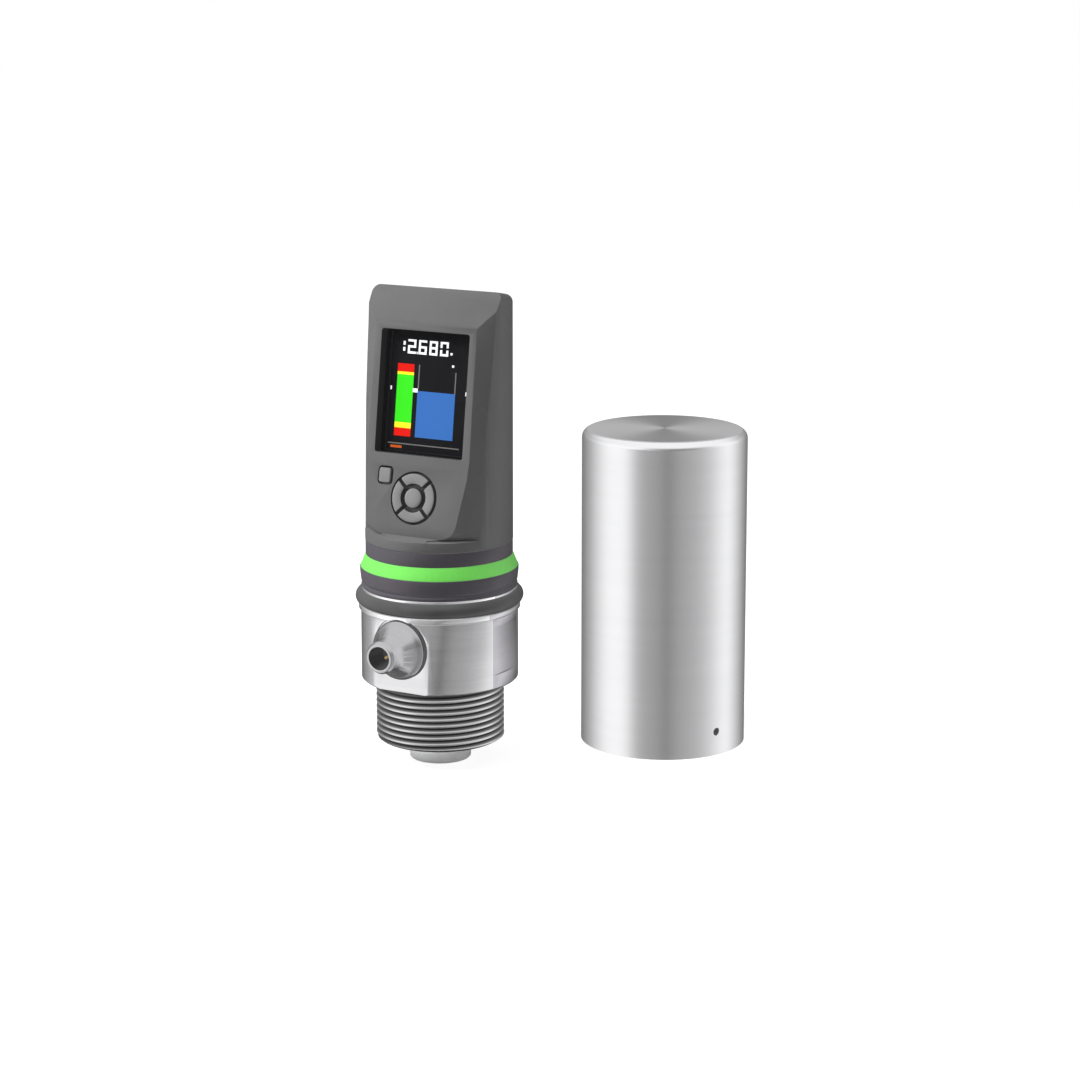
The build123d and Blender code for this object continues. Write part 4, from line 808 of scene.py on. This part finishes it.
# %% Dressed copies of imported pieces
DRESSED = {
    "head_housing": 0.35, "neck_ring": 0.15, "base_collar": 0.25, "light_ring": 0.2,
    "connector_gasket": 0.25, "probe_insulator": 0.2, "key_enter": 0.15, "key_menu": 0.12,
    "key_up": 0.15, "key_down": 0.15, "key_left": 0.15, "key_right": 0.15,
    "connector_shell": 0.15, "cover_set_screw": 0.1,
}
for node_name, width in DRESSED.items():
    dressed_mesh = merged_copy(node_name, node_name + "_dressed")
    dressed_mesh.shade_smooth()
    bevel_edges(place_piece(node_name + "_dressed", dressed_mesh, node_name, (node_name,)), width)
print("dressed pieces:", len(DRESSED))

# %% [markdown]
# The cover's long plain wall shows the smallest fault in its shading. Its
# corners get the true direction of a cylinder there, straight out from the
# axis, and every other corner keeps the direction of its own face.

# %% Cover wall
WALL_SKIN = 0.05 * MM
WALL_FACING = 0.99


def wall_normals(mesh, centre, radius):
    """Direction (x - cx, y - cy, 0) / r at each wall corner, and none elsewhere."""
    corner = np.empty(len(mesh.loops), dtype=np.int32)
    mesh.loops.foreach_get("vertex_index", corner)
    place = np.empty(3 * len(mesh.vertices))
    mesh.vertices.foreach_get("co", place)
    place = place.reshape(-1, 3)[corner]
    faces = len(mesh.polygons)
    size = np.empty(faces, dtype=np.int32)
    mesh.polygons.foreach_get("loop_total", size)
    facing = np.empty(3 * faces)
    mesh.polygons.foreach_get("normal", facing)
    facing = np.repeat(facing.reshape(-1, 3), size, axis=0)
    out = np.stack([place[:, 0] - centre[0], place[:, 1] - centre[1], np.zeros(len(place))], axis=-1)
    reach = np.linalg.norm(out, axis=1)
    outward = (out * facing).sum(axis=1) / reach
    on_wall = (reach > radius - WALL_SKIN) & (outward > WALL_FACING)
    return np.where(on_wall[:, None], out / reach[:, None], 0.0)


cover_mesh = merged_copy("head_cover", "head_cover_dressed")
cover_mesh.shade_smooth()
cover_mesh.set_sharp_from_angle(angle=SHARP_ANGLE)
cover_normals = wall_normals(cover_mesh, COVER_CENTRE, COVER_R)
cover_mesh.normals_split_custom_set(cover_normals)
place_piece("head_cover_dressed", cover_mesh, "head_cover", ("head_cover",))
print("cover wall corners:", int((cover_normals != 0).any(axis=1).sum()))

# %% [markdown]
# The thread needs room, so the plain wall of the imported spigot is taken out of
# the body's copy. The rest of the body is dressed like the other pieces.

# %% Steel body without its spigot wall
BODY_BEVEL = 0.22
THREAD_TIP_CHAMFER = 1.2
SHOULDER_SKIN = 0.1


def body_without_spigot():
    """Copy of the steel body with the plain spigot wall taken out, where the thread goes."""
    mesh = merged_copy("process_body", "process_body_dressed")
    shape = bmesh.new()
    shape.from_mesh(mesh)
    spigot = []
    for face in shape.faces:
        low = face.calc_center_median().z < -SHOULDER_SKIN * MM
        reach = max((v.co.x ** 2 + v.co.y ** 2) ** 0.5 for v in face.verts)
        if low and reach > (THREAD_R - 2 * THREAD_TIP_CHAMFER) * MM:
            spigot.append(face)
    bmesh.ops.delete(shape, geom=spigot, context="FACES")
    shape.to_mesh(mesh)
    shape.free()
    print("spigot faces taken out:", len(spigot))
    return mesh


body_mesh = body_without_spigot()
body_mesh.shade_smooth()
bevel_edges(place_piece("process_body_dressed", body_mesh, "process_body", ("process_body",)), BODY_BEVEL)
print("body faces:", len(body_mesh.polygons))

# %% [markdown]
# The threaded spigot is a parallel pipe thread: one right-handed ridge that
# climbs round the cylinder by one pitch per turn. As a surface of angle and
# height its radius is root + depth * wave(height / pitch - angle / turn), where
# the wave is a triangle with a flattened crest and root. It fades to a relief
# groove under the shoulder, where the cutting tool leaves the work, and it is
# cut by a chamfer at the tip. A grid of points gives it in one piece, which a
# sweep of a small profile would not do as evenly.

# %% Process thread
# Lengths in millimetres, heights measured down from the shoulder.
THREAD_PITCH = 2.309
THREAD_END = -23.0
THREAD_START = -1.2
THREAD_FADE = 1.5
TIP_SLOPE = 1.2
ROOT_FLAT = 0.12
FLANK_SPAN = 0.70
STRAIGHT_SHARE = 0.6
SPIGOT_BORE_R = 11.45


def grid_mesh(name, points):
    """Mesh from a grid of points (rows, columns, 3), its columns closed into a loop."""
    rows, columns, _ = points.shape
    index = np.arange(rows * columns).reshape(rows, columns)
    right = np.roll(index, -1, axis=1)
    quads = np.stack([index[:-1], right[:-1], right[1:], index[1:]], axis=-1).reshape(-1, 4)
    mesh = bpy.data.meshes.new(name)
    mesh.vertices.add(rows * columns)
    mesh.vertices.foreach_set("co", points.reshape(-1))
    mesh.loops.add(quads.size)
    mesh.loops.foreach_set("vertex_index", quads.reshape(-1).astype(np.int32))
    mesh.polygons.add(len(quads))
    mesh.polygons.foreach_set("loop_start", np.arange(0, quads.size, 4, dtype=np.int32))
    mesh.update(calc_edges=True)
    mesh.shade_smooth()
    return mesh


def thread_points(rows=260, columns=180):
    """Radius root + depth * wave(height / pitch - angle / turn), with a row to close each end.

    On a flank the wave mixes a straight rise w with the soft one 3 w^2 - 2 w^3,
    so the flank meets crest and root without a hard corner.
    """
    z = np.linspace(THREAD_END, 0.0, rows)
    angle = np.linspace(0, 2 * pi, columns, endpoint=False)
    height, turn_angle = np.meshgrid(z, angle, indexing="ij")
    phase = (height / THREAD_PITCH - turn_angle / (2 * pi)) % 1.0
    triangle = 1 - np.abs(2 * phase - 1)
    wave = np.clip((triangle - ROOT_FLAT) / FLANK_SPAN, 0, 1)
    wave = STRAIGHT_SHARE * wave + (1 - STRAIGHT_SHARE) * wave * wave * (3 - 2 * wave)
    growth = np.clip((THREAD_START - height) / THREAD_FADE, 0, 1)
    r = THREAD_R - THREAD_DEPTH + THREAD_DEPTH * wave * growth
    r = np.minimum(r, THREAD_R - THREAD_TIP_CHAMFER + TIP_SLOPE * (height - THREAD_END))
    r = np.concatenate([np.full((1, columns), SPIGOT_BORE_R), r, np.full((1, columns), THREAD_R)])
    height = np.concatenate([height[:1], height, height[-1:]])
    turn_angle = np.concatenate([turn_angle[:1], turn_angle, turn_angle[:1]])
    return np.stack([r * np.cos(turn_angle), r * np.sin(turn_angle), height], axis=-1) * MM


thread_mesh = grid_mesh("process_thread_ridge", thread_points())
place_piece("process_thread_ridge", thread_mesh, "process_body")
thread_mesh.materials[0] = FINISHES["thread_steel"]
print("thread triangles:", 2 * len(thread_mesh.polygons))

# %% [markdown]
# The fat black ring seals the cover. Its shape is a torus: a small circle
# carried round a large one. Two angles give every point, so a grid of the two
# makes it with no seam.

# %% Cover seal
SEAL_RING_R = 28.4
SEAL_CORD_R = 2.8
SEAL_Z = 31.5
SEAL_WELD = 0.001 * MM


def torus_points(ring_r, cord_r, z, rows=40, columns=160):
    """(ring + cord * cos v) round the axis at angle u, and height z + cord * sin v."""
    v = np.linspace(0, 2 * pi, rows + 1)
    u = np.linspace(0, 2 * pi, columns, endpoint=False)
    cord_angle, ring_angle = np.meshgrid(v, u, indexing="ij")
    r = ring_r + cord_r * np.cos(cord_angle)
    height = z + cord_r * np.sin(cord_angle)
    return np.stack([r * np.cos(ring_angle), r * np.sin(ring_angle), height], axis=-1) * MM


def welded(mesh):
    """Closes the seam rows of a grid mesh and turns every face outwards."""
    shape = bmesh.new()
    shape.from_mesh(mesh)
    bmesh.ops.remove_doubles(shape, verts=shape.verts, dist=SEAL_WELD)
    bmesh.ops.recalc_face_normals(shape, faces=shape.faces)
    shape.to_mesh(mesh)
    shape.free()
    mesh.shade_smooth()
    return mesh


seal_mesh = welded(grid_mesh("cover_seal", torus_points(SEAL_RING_R, SEAL_CORD_R, SEAL_Z)))
place_piece("cover_seal", seal_mesh, "cover_seal_o_ring", ("cover_seal_o_ring",))
print("seal triangles:", 2 * len(seal_mesh.polygons))

# %% [markdown]
# Everything else stays as packed, and takes the finish that its record names.

# %% Finishes of the remaining nodes
for node_name, node_object in frame["nodes"].items():
    node_object.data.materials.clear()
    node_object.data.materials.append(finish_of(node_name))
print("nodes with a finish:", len(frame["nodes"]))

# %% [markdown]
# In the photograph the cover's steel shows no sensor beside it, since each was
# lit by itself. So mirror-like rays pass every piece by and meet only the
# bands. The depth that a groove or bore would get from its own reflections is
# in the finishes instead. The display's glass lets the lamps' light through
# with no shadow, as clear glass does, so the picture behind it is lit evenly.

# %% Pieces that steel doesn't show
shown_meshes = [o for o in bpy.context.scene.objects if o.type == "MESH"]
for shown in shown_meshes:
    shown.visible_glossy = False
window = frame["nodes"]["display_window"]
window.visible_shadow = False
window.visible_diffuse = False
print("pieces that steel passes by:", len(shown_meshes))
